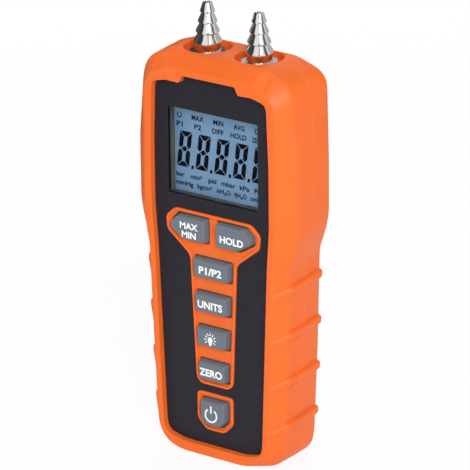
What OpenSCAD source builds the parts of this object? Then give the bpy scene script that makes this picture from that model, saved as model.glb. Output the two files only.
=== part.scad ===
// Handheld digital differential manometer with two hose ports.
// The meter stands upright on its foot. Its face looks along -Y.
// The origin is on the foot, under the plane where the two covers part.

/* [Body] */
// Height of the body, without the ports
body_h = 163; // [156:1:172]
// Width across the head
head_w = 76.2; // [74:0.2:80]
// Width at the waist, where the grip starts
waist_w = 67.2; // [65:0.2:70]
// Width just above the foot's corners
foot_w = 61.2; // [59:0.2:64]
// Width of the flat that the meter stands on
foot_flat_w = 44; // [38:1:46]
// Width at the shoulders, on the front crease
shoulder_w = 71.2; // [70:0.2:74]
// Width at the shoulders, on the rear crease
rear_shoulder_w = 74.8; // [73:0.2:76]
// Width of the flat top that the ports stand in
top_flat_w = 46; // [44:1:50]
// Height of the foot's corners
foot_corner_h = 10; // [8:0.5:14]
// Distance from the body's top down to where the grip ends
waist_drop = 79; // [76:1:83]
// Distance from the body's top down to where the head reaches its full width
head_drop = 62; // [58:1:65]
// Distance from the body's top down to where the head starts to narrow again
cheek_drop = 37; // [33:1:47]
// Distance from the body's top down to the front crease's corner at the shoulder
shoulder_drop = 12; // [10:0.5:14]
// Distance from the body's top down to the rear crease's corner at the shoulder
rear_shoulder_drop = 9; // [7:0.5:12]
// Depth from the parting plane to the front border
front_d = 17; // [16:0.2:18]
// Depth from the parting plane to the back
rear_d = 15.6; // [15:0.2:17]
// Width of the front bevel at the head
bevel_w = 6.5; // [5.5:0.1:7.5]
// Depth of the front bevel
bevel_d = 6.6; // [5.5:0.1:7]
// Width of the rear bevel at the head
rear_bevel_w = 5.5; // [4:0.1:6]
// Depth of the rear bevel
rear_bevel_d = 5.8; // [4.5:0.1:6]
// How much narrower each side is at the rear bevel than at the front one
draft = 0.5; // [0:0.1:1]
// Thickness of the covers' walls
wall = 2.4; // [2:0.1:2.6]

/* [Grip] */
// Number of raised bands on each side
rib_count = 4; // [2:1:4]
// Distance from the waist down to the highest band's upper edge, on the front crease
rib_drop = 6.4; // [5:0.1:8]
// Height of the lowest band's upper edge
rib_low_z = 20.3; // [18:0.1:24]
// Height of a band on the side
rib_h = 5; // [4:0.1:6]
// Height of a band where it fades into the border
rib_end_h = 2.6; // [1:0.1:4]
// How far the bands stand proud
rib_proud = 1.6; // [0.6:0.1:1.8]
// How far a band falls across the bevel
rib_fall = 4; // [2:0.1:6]
// How far a band rises from the front crease to the rear one
rib_rise = 1.2; // [0:0.1:2]

/* [Face] */
// Depth of the face panel below the front border
panel_sink = 2.7; // [2:0.1:3.2]
// Width of the orange border beside the panel at the head
border_w = 3.5; // [3:0.1:4]
// Width of the orange border beside the panel at the grip
grip_border_w = 2.3; // [2:0.1:2.8]
// Height of the panel's lower edge
panel_z0 = 4.4; // [4:0.1:6]
// Distance from the body's top down to the panel's shoulders
panel_drop = 10.8; // [10:0.1:13]
// How far the panel's middle part rises above its shoulders
panel_rise = 3.1; // [2:0.1:3.4]
// Width of the panel's middle part
panel_step_w = 24.8; // [20:0.2:30]
// Thickness of the face panel
panel_t = 0.6; // [0.4:0.1:0.8]
// Width of the display window
window_w = 42.8; // [40:0.2:44]
// Height of the display window
window_h = 35.1; // [32:0.1:36]
// Distance from the body's top down to the window's centre
window_drop = 39.45; // [38:0.05:41]
// Thickness of the clear lens
lens_t = 1.2; // [0.8:0.1:1.4]
// Depth of the display glass below the panel's face
glass_sink = 4.8; // [4:0.1:5.4]

/* [Keys] */
// How far the keys stand above the panel's face
key_proud = 2.6; // [1.4:0.1:2.6]
// How far a key travels
key_travel = 0.8; // [0.4:0.1:0.8]
// Gap between a key and its hole
key_gap = 0.6; // [0.4:0.05:0.75]
// Gap between two keys in the column
key_space = 5.6; // [5:0.1:7]
// Width of the column's highest key
key_w_top = 17.6; // [16:0.1:18.4]
// Width of the column's lowest key
key_w_low = 13.8; // [12:0.1:15]
// Distance from the window down to the two wide keys
wide_key_drop = 7.2; // [7:0.1:9]
// Height of the two wide keys
wide_key_h = 10.5; // [9:0.1:11]
// Width of the bar between the two wide keys
key_bar_w = 4.3; // [4:0.1:6]
// Half the width across the points of the two wide keys
wide_key_reach = 19.7; // [19:0.1:20]
// Height of the power key's centre
power_z = 18.65; // [18:0.05:19]
// Width of the power key
power_w = 12.8; // [11:0.1:14]
// Height of the power key
power_h = 11.3; // [10:0.1:12]
// Width of the raised rim around the keys
rim_w = 1.2; // [1:0.1:1.4]
// How far the rim stands above the panel's face
rim_proud = 0.7; // [0.4:0.1:1]
// Gap between a key and the rim
rim_gap = 1; // [0.9:0.1:1.2]

/* [Ports] */
// Distance between the two ports
port_pitch = 24.4; // [23:0.2:26]
// Radius of the well around a port
well_r = 9.4; // [8.6:0.1:9.6]
// Depth of the well
well_d = 3; // [2.4:0.1:3.4]
// Radius of the port's flange
flange_r = 7.3; // [6.5:0.1:7.6]
// Thickness of the port's flange
flange_t = 1; // [0.8:0.1:1.2]
// Radius of the port's smooth neck
neck_r = 5; // [4.6:0.1:5.2]
// Height of the port's tip above the body's top
port_tip_h = 17.6; // [16:0.1:20]
// Radius of the largest barb
barb_r_low = 5.45; // [5.3:0.05:6]
// Radius of the smallest barb
barb_r_high = 2.85; // [2.6:0.05:3.2]
// Number of barbs on a port
barb_count = 4; // [3:1:5]
// Length of the straight land on each barb
barb_land = 0.7; // [0.4:0.1:1]
// Radius of the hole through the port
port_bore_r = 1.1; // [0.8:0.1:1.3]
// Radius of the port's threaded stem
stem_r = 4; // [3.6:0.1:4.2]
// Radius of the inner hose tail
tail_r = 2.4; // [2:0.1:2.6]

/* [Battery compartment] */
// Radius of a cell
cell_r = 5.15; // [5:0.05:5.25]
// Length of a cell, with its button
cell_l = 44.5; // [43:0.1:45]
// Number of cells
cell_count = 3; // [2:1:3]
// Gap between two cells
cell_gap = 0.6; // [0.4:0.1:0.8]
// Height of the lower end of the compartment
bay_z = 17; // [16:0.5:18]
// Room for the contacts at each end of the cells
contact_room = 4.7; // [4:0.1:5]
// Thickness of the battery door
door_t = 2; // [1.6:0.1:2.2]
// Gap around the battery door
door_gap = 0.3; // [0.2:0.05:0.4]

/* [Board] */
// Thickness of the main board
board_t = 1.6; // [1.2:0.1:1.8]
// Distance from the parting plane to the board's rear face
board_y = 3.7; // [3.5:0.1:3.9]
// Width of the main board
board_w = 52; // [50:0.5:53]
// Height of the board's lower edge
board_z0 = 14; // [13.5:0.5:15]
// Distance from the board's upper edge to the floor of the block that carries the ports
board_drop = 9.5; // [9:0.1:12]

/* [Hidden] */

// One overrun serves all cuts
over = 0.5;
// Gap between fixed pieces that are laid into each other
seat_gap = 0.15;
// Gap between fixed pieces that are slipped into each other
slip_gap = 0.05;

// Planes of the face, as places along Y
border_y = -front_d;
panel_y = border_y + panel_sink;
panel_seat_y = panel_y + panel_t;
face_wall = 2;
cavity_y = panel_seat_y + face_wall;
crease_y = border_y + bevel_d;
rear_crease_y = rear_d - rear_bevel_d;
back_wall = 2.2;
rear_cavity_y = rear_d - back_wall;
glass_y = panel_y + glass_sink;
board_front_y = -board_y - board_t;
key_y = panel_y - key_proud;

// The top block that carries the ports
well_z = body_h - well_d;
block_t = 4;
block_z = well_z - block_t;
port_x = port_pitch / 2;

// Heights that hang from the body's top
waist_z = body_h - waist_drop;
head_z = body_h - head_drop;
cheek_z = body_h - cheek_drop;
panel_z1 = body_h - panel_drop;
panel_z2 = panel_z1 + panel_rise;
window_z = body_h - window_drop;
board_z1 = block_z - board_drop;
rib_top_z = waist_z - rib_drop;
rib_pitch = (rib_top_z - rib_low_z) / (rib_count - 1);

// The column's keys share out the space between the wide keys and the power key
column_gap = 5.6;
power_gap = 7.7;
column_count = 4;
wide_key_z = window_z - window_h / 2 - wide_key_drop - wide_key_h;
key_pitch = (wide_key_z - column_gap - power_z - power_h / 2 - power_gap + key_space) / column_count;
key_h = key_pitch - key_space;
key_col_z = wide_key_z - column_gap - key_h / 2;

// Shares for the curved stretches of the outline, from one end of each to the other
corner_shares = [[0, 0], [0.51, 0.12], [0.89, 0.5], [1, 1]];
neck_shares = [[0.36, 0.25], [0.71, 0.53], [0.93, 0.79]];
shoulder_shares = [[0.08, 0.34], [0.29, 0.63], [1, 1]];
// Shares of the bevel's width by which each point of the outline moves in, sideways and upwards
bevel_shares = [[1, -0.08], [0.8, -0.16], [0.74, -0.15], [0.66, -0.1], [0.7, 0], [0.68, 0],
    [0.8, 0.05], [0.96, 0.05], [1.05, 0.02], [1.05, 0], [1.06, 0], [0.69, 0.5], [0.83, 0.51],
    [0.92, 0.58], [0.92, 0.86]];
// The least sideways share at the back, where the bevel is more even
rear_least_share = 0.85;
// Share of the bevel that the inside of a cover follows at its face
cavity_bevel_share = 0.35;
rear_cavity_bevel_share = 0.75;

function mix(a, b, t) = a + (b - a) * t;
function stretch(a, b, shares) = [for (s = shares) [mix(a[0], b[0], s[0]), mix(a[1], b[1], s[1])]];
function mirrored(half) = [for (i = [len(half) - 1:-1:0]) [-half[i][0], half[i][1]]];
function closed(half) = concat(half, mirrored(half));

foot_a = [foot_flat_w / 2, 0];
foot_b = [foot_w / 2, foot_corner_h];
waist_p = [waist_w / 2, waist_z];
head_p = [head_w / 2, head_z];
cheek_p = [head_w / 2, cheek_z];
shoulder_p = [shoulder_w / 2, body_h - shoulder_drop];
rear_shoulder_p = [rear_shoulder_w / 2, body_h - rear_shoulder_drop];
top_p = [top_flat_w / 2, body_h];
grip_bow = 0.3;
grip_mid = (foot_b + waist_p) / 2 + [grip_bow, 0];
// The right half of the body's outline, from the foot up, with the neck raised by a distance
function side_half(rise, shoulder) = let (waist = waist_p + [0, rise], head = head_p + [0, rise])
    concat(stretch(foot_a, foot_b, corner_shares), [grip_mid, waist],
        stretch(waist, head, neck_shares), [head, cheek_p, shoulder],
        stretch(shoulder, top_p, shoulder_shares));
// How much higher the neck is on the rear crease than on the front one
neck_rise = 3;
body_half = side_half(0, shoulder_p);
rear_side_half = side_half(neck_rise, rear_shoulder_p);
// The covers part halfway between the two
parting_half = (body_half + rear_side_half) / 2;

function bevelled(half, width, part, least = 0) = [for (i = [0:len(half) - 1])
    half[i] - width * part * [max(bevel_shares[i][0], least), bevel_shares[i][1]]];
function drafted(half, by) = [for (p = half) [p[0] - by, p[1]]];
rear_half = drafted(rear_side_half, draft);
border_half = bevelled(body_half, bevel_w, 1);
back_half = bevelled(rear_half, rear_bevel_w, 1, rear_least_share);

// A closed outline moved inwards by a distance, corner by corner
function edge_normal(a, b) = [a[1] - b[1], b[0] - a[0]] / norm(b - a);
function moved_in(pts, by) = [for (i = [0:len(pts) - 1])
    let (n = len(pts),
        n1 = edge_normal(pts[(i + n - 1) % n], pts[i]),
        n2 = edge_normal(pts[i], pts[(i + 1) % n]))
    pts[i] + by * (n1 + n2) / (1 + n1 * n2)];
// An outline cut off at a height
function capped(pts, z) = [for (p = pts) [p[0], min(p[1], z)]];

// A solid through outlines that all have as many points, at places along Y.
// It runs past both ends, where it is cut off flat.
module loft(outlines, places) {
    end = len(outlines) - 1;
    rings = concat([outlines[0]], outlines, [outlines[end]]);
    ys = concat([places[0] - over], places, [places[end] + over]);
    n = len(rings[0]);
    last = len(rings) - 1;
    points = [for (k = [0:last]) for (p = rings[k]) [p[0], ys[k], p[1]]];
    sides = [for (k = [0:last - 1]) for (i = [0:n - 1])
        let (j = (i + 1) % n, a = k * n + i, b = k * n + j, c = b + n, d = a + n)
        each [[a, b, c], [a, c, d]]];
    caps = [[for (i = [n - 1:-1:0]) i], [for (i = [0:n - 1]) last * n + i]];
    intersection() {
        polyhedron(points, concat(sides, caps));
        block(0, body_h / 2, 2 * head_w, 2 * body_h, places[0], places[end]);
    }
}

// A flat outline in X and Z, from one place along Y to another
module slab(pts, y0, y1) {
    translate([0, y1, 0]) rotate([90, 0, 0]) linear_extrude(y1 - y0) polygon(pts);
}

// A box given by its centre in X and Z, its size there, and two places along Y
module block(x, z, w, h, y0, y1) {
    translate([x - w / 2, y0, z - h / 2]) cube([w, y1 - y0, h]);
}

// A round rod or hole along Y
module rod_y(x, z, r, y0, y1, sides = 48) {
    translate([x, y0, z]) rotate([-90, 0, 0]) cylinder(h = y1 - y0, r = r, $fn = sides);
}

// A round rod or hole along Z
module rod_z(x, y, r, z0, z1, sides = 64) {
    translate([x, y, z0]) cylinder(h = z1 - z0, r = r, $fn = sides);
}

// Outlines of the face

// The panel's half outline follows the border's inner edge
panel_corner_shares = [[0, 0], [0.74, 0.24], [0.94, 0.5], [1, 1]];
panel_flat_w = 30;
panel_corner_h = 7;
panel_foot_w = foot_w - 2 * bevel_shares[3][0] * bevel_w - 2 * grip_border_w;
panel_waist_w = waist_w - 2 * bevel_shares[5][0] * bevel_w - 2 * grip_border_w;
panel_head_w = head_w - 2 * bevel_w - 2 * border_w;
panel_top_w = 54.4;
panel_step_run = 1.6;
panel_step_fall = 0.2;
panel_shoulder_run = 7;
panel_shoulder_h = 3.4;
panel_shoulder_shares = [[0, 0], [0.16, 0.59], [1, 1]];
panel_half = concat(
    stretch([panel_flat_w / 2, panel_z0], [panel_foot_w / 2, panel_z0 + panel_corner_h],
        panel_corner_shares),
    [[panel_waist_w / 2, waist_z]],
    [[panel_head_w / 2, head_z], [panel_head_w / 2, cheek_z]],
    stretch([panel_top_w / 2, panel_z1 - panel_shoulder_h],
        [panel_top_w / 2 - panel_shoulder_run, panel_z1], panel_shoulder_shares),
    [[panel_step_w / 2 + panel_step_run, panel_z1 - panel_step_fall], [panel_step_w / 2, panel_z2]]);

// The keys' places, each a closed outline, and how far a key's sides lie inside it
key_slim = 0.25;
key_low_z = key_col_z - (column_count - 1) * key_pitch;
function column_w(z) = mix(key_w_low, key_w_top, (z - key_low_z) / (key_col_z - key_low_z));
function column_key(z) = let (w0 = column_w(z - key_h / 2) / 2, w1 = column_w(z + key_h / 2) / 2)
    [[-w0, z - key_h / 2], [w0, z - key_h / 2], [w1, z + key_h / 2], [-w1, z + key_h / 2]];
wide_key_top = wide_key_z + wide_key_h;
wide_shares = [[0.66, 0], [1, 0.39], [1, 0.67], [0.82, 1]];
function wide_half() = concat([[0, wide_key_z]],
    stretch([0, wide_key_z], [wide_key_reach, wide_key_top], wide_shares), [[0, wide_key_top]]);
hold_key = [for (p = wide_half()) [max(p[0], key_bar_w / 2), p[1]]];
max_min_key = [for (i = [len(hold_key) - 1:-1:0]) [-hold_key[i][0], hold_key[i][1]]];
power_corner = 3;
power_key = closed([[power_w / 2 - power_corner, power_z - power_h / 2],
    [power_w / 2, power_z - power_h / 2 + power_corner], [power_w / 2, power_z + power_h / 2]]);
column_zs = [for (i = [0:column_count - 1]) key_col_z - i * key_pitch];
keys = concat([max_min_key, hold_key], [for (z = column_zs) column_key(z)], [power_key]);

// The raised rim's outer outline runs round the keys at one distance
rim_out = rim_gap + rim_w;
group_top_gap = 1.6;
group_top = wide_key_top + group_top_gap;
group_low = key_low_z - key_h / 2 - rim_out;
group_corner = 2.2;
group_neck_drop = 6;
group_waist_z = wide_key_z - group_neck_drop;
group_bulge = 0.7;
group_side_shares = [0.25, 0.77];
group_half = [
    [column_w(group_low) / 2 + rim_out - group_corner, group_low],
    [column_w(group_low) / 2 + rim_out, group_low + group_corner],
    [column_w(group_waist_z) / 2 + rim_out, group_waist_z],
    [wide_key_reach + rim_out, wide_key_z + group_side_shares[0] * wide_key_h],
    [wide_key_reach + rim_out + group_bulge, wide_key_z + group_side_shares[1] * wide_key_h],
    [wide_shares[3][0] * wide_key_reach + rim_out, group_top]];
group_outline = closed(group_half);
power_outline = moved_in(power_key, -rim_out);

// The covers

screw_r = 1.2;
screw_head_r = 2.3;
screw_head_t = 1.4;
post_r = 3.3;
case_screw_drop = 12.5;
case_screw_top = [26.5, body_h - case_screw_drop];
case_screw_low = [21.5, 9];
case_screw_xz = [case_screw_top, case_screw_low];
board_screw_x = 22.5;
board_screw_rise = 2;
board_screw_inset = 10;
board_screw_xz = [[board_screw_x, waist_z + board_screw_rise],
    [board_screw_x, board_z0 + board_screw_inset]];
board_post_r = 2.5;
case_head_y = 3;
lens_lap = 1.6;
window_hole_w = window_w + 2 * lens_lap;
window_hole_h = window_h + 2 * lens_lap;

module both_sides() {
    children();
    mirror([1, 0, 0]) children();
}

// A half outline with the grip's bands on it: they shift along Z and stand proud by a distance
foot_points = len(corner_shares);
rib_low_run = 0.8;
rib_top_run = 0.35;
function ribbed(half, shift, height, proud) = let (edge = [for (p = half) [p[1], p[0]]])
    concat([for (i = [0:foot_points - 1]) half[i]],
        [for (i = [rib_count - 1:-1:0])
            let (top = rib_top_z - i * rib_pitch + shift, low = top - height,
                low_in = low + rib_low_run, top_in = top - rib_top_run)
            each [[lookup(low, edge), low], [lookup(low_in, edge) + proud, low_in],
                [lookup(top_in, edge) + proud, top_in], [lookup(top, edge), top]]],
        [for (i = [foot_points + 1:len(half) - 1]) half[i]]);
border_ring = closed(ribbed(border_half, -rib_fall, rib_end_h, 0));
crease_ring = closed(ribbed(body_half, 0, rib_h, rib_proud));
parting_ring = closed(ribbed(parting_half, rib_rise / 2, rib_h, rib_proud));
parting_hollow = capped(moved_in(closed(parting_half), wall), block_z);
rear_ring = closed(ribbed(rear_half, rib_rise, rib_h, rib_proud));
back_ring = closed(ribbed(back_half, rib_rise - rib_fall, rib_end_h, 0));

// The wells and the holes for the port stems, which both covers share
stem_room = 0.2;
stem_hole_r = stem_r + stem_room;
module port_cuts() {
    both_sides() {
        rod_z(port_x, 0, well_r, well_z, body_h + over);
        rod_z(port_x, 0, stem_hole_r, block_z - over, body_h);
    }
}

// The groove for the seal, half in each cover, open at the top
seal_in = 0.8;
seal_w = 0.8;
seal_t = 0.5;
seal_top_z = 152;
module seal_run(gap, y0, y1) {
    outer = capped(moved_in(closed(parting_half), seal_in - gap), seal_top_z + gap);
    inner = capped(moved_in(closed(parting_half), seal_in + seal_w + gap), seal_top_z + gap + over);
    difference() {
        slab(outer, y0, y1);
        slab(inner, y0 - over, y1 + over);
    }
}

// The short ridges that run down the forehead beside the ports
ridge_xs = [19.8, 26.5];
ridge_w = 0.8;
ridge_h = 0.4;
ridge_share = 0.62;
function top_edge(half, x) = lookup(x, [for (p = half) if (p[1] > cheek_z) p]);
module forehead_ridges() {
    for (x = ridge_xs) {
        z0 = top_edge(border_half, x);
        z1 = top_edge(body_half, x);
        lean = atan2(z1 - z0, bevel_d);
        ridge_l = ridge_share * norm([z1 - z0, bevel_d]);
        both_sides()
            translate([x, mix(border_y, crease_y, 0.5), mix(z0, z1, 0.5)]) rotate([lean, 0, 0])
                cube([ridge_w, ridge_l, 2 * ridge_h], center = true);
    }
}

module front_cover() {
    outer = closed(body_half);
    hollow = capped(moved_in(outer, wall), block_z);
    face_hollow = capped(closed(bevelled([for (i = [0:len(body_half) - 1])
        moved_in(outer, wall)[i]], bevel_w, cavity_bevel_share)), block_z);
    color([0.92, 0.36, 0.09]) difference() {
        union() {
            difference() {
                loft([border_ring, crease_ring, parting_ring], [border_y, crease_y, 0]);
                loft([face_hollow, hollow, parting_hollow], [cavity_y, crease_y + wall, over]);
                slab(closed(panel_half), border_y - over, panel_seat_y);
            }
            forehead_ridges();
            // The key surrounds, a rim round a floor that is level with the panel
            slab(group_outline, panel_y - rim_proud, cavity_y);
            slab(power_outline, panel_y - rim_proud, cavity_y);
            // The screw posts
            both_sides() {
                for (p = case_screw_xz) rod_y(p[0], p[1], post_r, cavity_y - over, 0);
                for (p = board_screw_xz) rod_y(p[0], p[1], board_post_r, cavity_y - over, board_front_y);
            }
        }
        // The floors inside the rims
        slab(moved_in(group_outline, rim_w), border_y - over, panel_y);
        slab(moved_in(power_outline, rim_w), border_y - over, panel_y);
        for (k = keys) slab(moved_in(k, key_slim - key_gap), border_y - over, cavity_y + over);
        block(0, window_z, window_hole_w, window_hole_h, border_y - over, cavity_y + over);
        both_sides() {
            for (p = case_screw_xz) rod_y(p[0], p[1], screw_r, cavity_y + over, over);
            for (p = board_screw_xz) rod_y(p[0], p[1], screw_r, cavity_y + over, 0);
        }
        port_cuts();
        seal_run(slip_gap, -seal_t - slip_gap, over);
    }
}

// The battery compartment

cell_pitch = 2 * cell_r + cell_gap;
bay_w = cell_count * cell_pitch + cell_gap;
bay_l = cell_l + 2 * contact_room;
bay_wall = 2;
door_y = rear_d - door_t;
bay_floor_y = door_y - 2 * cell_r - 2 * seat_gap;
cell_y = bay_floor_y + cell_r + seat_gap;
door_side_lap = 2.5;
door_end_lap = 2.2;
door_w = bay_w + 2 * door_side_lap;
door_z0 = bay_z - door_end_lap;
door_z1 = bay_z + bay_l + door_end_lap;
ear_w = 12;
ear_h = 7.4;
ear_screw_z = [door_z0 - ear_h / 2, door_z1 + ear_h / 2];
function door_outline(gap) = [
    [-ear_w / 2 - gap, door_z0 - ear_h - gap], [ear_w / 2 + gap, door_z0 - ear_h - gap],
    [ear_w / 2 + gap, door_z0 - gap], [door_w / 2 + gap, door_z0 - gap],
    [door_w / 2 + gap, door_z1 + gap], [ear_w / 2 + gap, door_z1 + gap],
    [ear_w / 2 + gap, door_z1 + ear_h + gap], [-ear_w / 2 - gap, door_z1 + ear_h + gap],
    [-ear_w / 2 - gap, door_z1 + gap], [-door_w / 2 - gap, door_z1 + gap],
    [-door_w / 2 - gap, door_z0 - gap], [-ear_w / 2 - gap, door_z0 - gap]];
door_screw_l = 7;
door_screw_sink = 0.1;
door_screw_y = rear_d - door_screw_sink;
screw_tip_y = door_screw_y - door_screw_l;
tip_room = 0.4;
leg_w = 3;
leg_slot = 0.4;
contact_t = 0.4;
plate_z = bay_z + bay_l - slip_gap;

module rear_cover() {
    rear = closed(rear_half);
    rear_hollow = capped(moved_in(rear, wall), block_z);
    back_hollow = capped(closed(bevelled([for (i = [0:len(body_half) - 1])
        moved_in(rear, wall)[i]], rear_bevel_w, rear_cavity_bevel_share, rear_least_share)), block_z);
    seat_y = door_y - slip_gap;
    color([0.92, 0.36, 0.09]) difference() {
        union() {
            difference() {
                loft([parting_ring, rear_ring, back_ring], [0, rear_crease_y, rear_d]);
                loft([parting_hollow, rear_hollow, back_hollow],
                    [-over, rear_crease_y - wall / 2, rear_cavity_y]);
            }
            // The walls of the battery compartment and the seat of its door
            block(0, bay_z + bay_l / 2, bay_w + 2 * bay_wall, bay_l + 2 * bay_wall,
                bay_floor_y - bay_wall * 0.75, rear_d - wall);
            block(0, bay_z + bay_l / 2, door_w + 2 * bay_wall, bay_l + 4 * bay_wall,
                door_y - bay_wall, rear_d - wall / 2);
            for (z = ear_screw_z) rod_y(0, z, ear_w / 2 + over, screw_tip_y - bay_wall, rear_d - wall / 2);
            both_sides() for (p = case_screw_xz) rod_y(p[0], p[1], post_r, 0, rear_d - wall / 2);
        }
        block(0, bay_z + bay_l / 2, bay_w, bay_l, bay_floor_y, rear_d + over);
        slab(door_outline(door_gap), seat_y, rear_d + over);
        for (z = ear_screw_z) rod_y(0, z, screw_r, screw_tip_y - tip_room, rear_d);
        both_sides() for (p = case_screw_xz) {
            rod_y(p[0], p[1], screw_r + seat_gap, -over, rear_d);
            rod_y(p[0], p[1], screw_head_r + seat_gap, case_head_y, rear_d + over);
        }
        // Slots for the legs of the two end contacts
        for (i = [0, cell_count - 1])
            block((i - (cell_count - 1) / 2) * cell_pitch, plate_z - contact_t / 2,
                leg_w + 2 * leg_slot, contact_t + 2 * leg_slot, 0, bay_floor_y + over);
        port_cuts();
        seal_run(slip_gap, -over, seal_t + slip_gap);
    }
}

module parting_seal() {
    color([0.12, 0.12, 0.13]) seal_run(0, -seal_t, seal_t);
}

// The face

module face_panel() {
    color([0.07, 0.065, 0.075]) difference() {
        slab(moved_in(closed(panel_half), seat_gap), panel_y, panel_seat_y);
        block(0, window_z, window_w, window_h, panel_y - over, panel_seat_y + over);
        slab(moved_in(group_outline, -seat_gap), panel_y - over, panel_seat_y + over);
        slab(moved_in(power_outline, -seat_gap), panel_y - over, panel_seat_y + over);
    }
}

module display_lens() {
    color([0.8, 0.88, 0.95, 0.3])
        block(0, window_z, window_hole_w - 2 * seat_gap, window_hole_h - 2 * seat_gap,
            panel_seat_y, panel_seat_y + lens_t);
}

glass_side_lap = 2.6;
glass_end_lap = 2.45;
glass_w = window_w + 2 * glass_side_lap;
glass_h = window_h + 2 * glass_end_lap;
glass_t = 2.6;
frame_wall = 1.5;
frame_lip_y = panel_seat_y + lens_t;
glass_back_y = glass_y + glass_t;
module lcd_frame() {
    color([0.1, 0.1, 0.11]) difference() {
        union() {
            block(0, window_z, window_hole_w - 2 * seat_gap, window_hole_h - 2 * seat_gap,
                frame_lip_y, glass_y);
            block(0, window_z, glass_w + 2 * frame_wall, glass_h + 2 * frame_wall,
                cavity_y, board_front_y);
        }
        block(0, window_z, window_w, window_h, frame_lip_y - over, glass_y + over);
        block(0, window_z, glass_w + 2 * seat_gap, glass_h + 2 * seat_gap, glass_y, board_front_y + over);
    }
}

module lcd_glass() {
    color([0.55, 0.68, 0.62]) block(0, window_z, glass_w, glass_h, glass_y, glass_back_y);
}

strip_h = 2;
backlight_h = glass_h - 2 * strip_h - 4 * seat_gap;
module backlight_panel() {
    color([0.93, 0.95, 0.97])
        block(0, window_z, glass_w - 2 * seat_gap, backlight_h, glass_back_y, board_front_y - seat_gap);
}

module contact_strips() {
    color([0.9, 0.55, 0.65])
        for (s = [-1, 1])
            block(0, window_z + s * (glass_h - strip_h) / 2, glass_w - 2 * seat_gap, strip_h,
                glass_back_y, board_front_y);
}

// The keys

key_draft = 0.5;
flange_out = 1;
key_flange_t = 1.2;
key_flange_room = 0.3;
key_flange_y = cavity_y + key_flange_room;
dome_h = 0.9;
membrane_t = 0.8;
dome_clear = 0.1;
dome_y = board_front_y - membrane_t - dome_h;
plunger_y = dome_y - key_travel - dome_clear;
plunger_share = 0.45;
function middle(pts) = [for (a = [0, 1]) (min([for (p = pts) p[a]]) + max([for (p = pts) p[a]])) / 2];
function extent(pts, a) = max([for (p = pts) p[a]]) - min([for (p = pts) p[a]]);

module key(outline) {
    c = middle(outline);
    color([0.36, 0.41, 0.46]) {
        loft([moved_in(outline, key_slim + key_draft), moved_in(outline, key_slim),
            moved_in(outline, key_slim)], [key_y, panel_y, key_flange_y]);
        slab(moved_in(outline, -flange_out), key_flange_y, key_flange_y + key_flange_t);
        block(c[0], c[1], plunger_share * extent(outline, 0), plunger_share * extent(outline, 1),
            key_flange_y + key_flange_t, plunger_y);
    }
}

module key_max_min() { key(keys[0]); }
module key_hold() { key(keys[1]); }
module key_p1_p2() { key(keys[2]); }
module key_units() { key(keys[3]); }
module key_light() { key(keys[4]); }
module key_zero() { key(keys[5]); }
module key_power() { key(keys[6]); }

membrane_room = 0.5;
membrane_w = 2 * (board_screw_x - board_post_r - membrane_room);
membrane_z0 = board_z0;
membrane_z1 = wide_key_top + flange_out;
dome_r0 = 3.6;
dome_r1 = 2.8;
module keypad_membrane() {
    mid_z = (membrane_z0 + membrane_z1) / 2;
    color([0.75, 0.76, 0.74]) {
        block(0, mid_z, membrane_w, membrane_z1 - membrane_z0, board_front_y - membrane_t, board_front_y);
        for (k = keys)
            translate([middle(k)[0], board_front_y - membrane_t, middle(k)[1]]) rotate([90, 0, 0])
                cylinder(h = dome_h, r1 = dome_r0, r2 = dome_r1, $fn = 40);
    }
}

// The board and what it carries

module main_board() {
    color([0.1, 0.38, 0.2]) difference() {
        block(0, (board_z0 + board_z1) / 2, board_w, board_z1 - board_z0, board_front_y, -board_y);
        both_sides() for (p = board_screw_xz)
            rod_y(p[0], p[1], screw_r + seat_gap, board_front_y - over, -board_y + over);
    }
}

// The two pressure sensors hang below the ports
sensor_w = 13;
sensor_h = 13;
sensor_drop = 20;
sensor_z1 = block_z - sensor_drop;
sensor_back = 4.6;
sensor_port_l = 6;

// Each chip's place across and below the sensors, its width and its height, all as shares of
// the board's width, and its thickness as a share of the board's
chip_shares = [[0.13, 0.42, 0.23, 0.23, 1], [-0.31, 0.33, 0.15, 0.1, 0.75],
    [0.42, 0.1, 0.06, 0.1, 0.7], [-0.08, 0.73, 0.1, 0.08, 0.6]];
chip_z = sensor_z1 - sensor_h;
module board_chips() {
    color([0.09, 0.09, 0.1])
        for (c = chip_shares)
            block(board_w * c[0], chip_z - board_w * c[1], board_w * c[2], board_w * c[3],
                -board_y, -board_y + board_t * c[4]);
}

board_screw_l = 5.4;
module board_screws() {
    color([0.7, 0.71, 0.74]) both_sides() for (p = board_screw_xz) {
        rod_y(p[0], p[1], screw_head_r, -board_y, -board_y + 0.9 * screw_head_t);
        rod_y(p[0], p[1], screw_r - slip_gap, -board_y - board_screw_l, -board_y);
    }
}

module pressure_sensor(side) {
    color([0.82, 0.83, 0.84]) difference() {
        union() {
            block(side * port_x, sensor_z1 - sensor_h / 2, sensor_w, sensor_h, -board_y, sensor_back);
            rod_z(side * port_x, 0, tail_r, sensor_z1 - slip_gap, sensor_z1 + sensor_port_l);
        }
        rod_z(side * port_x, 0, port_bore_r, sensor_z1 - over, sensor_z1 + sensor_port_l + over);
    }
}
module pressure_sensor_p1() { pressure_sensor(-1); }
module pressure_sensor_p2() { pressure_sensor(1); }

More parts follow.
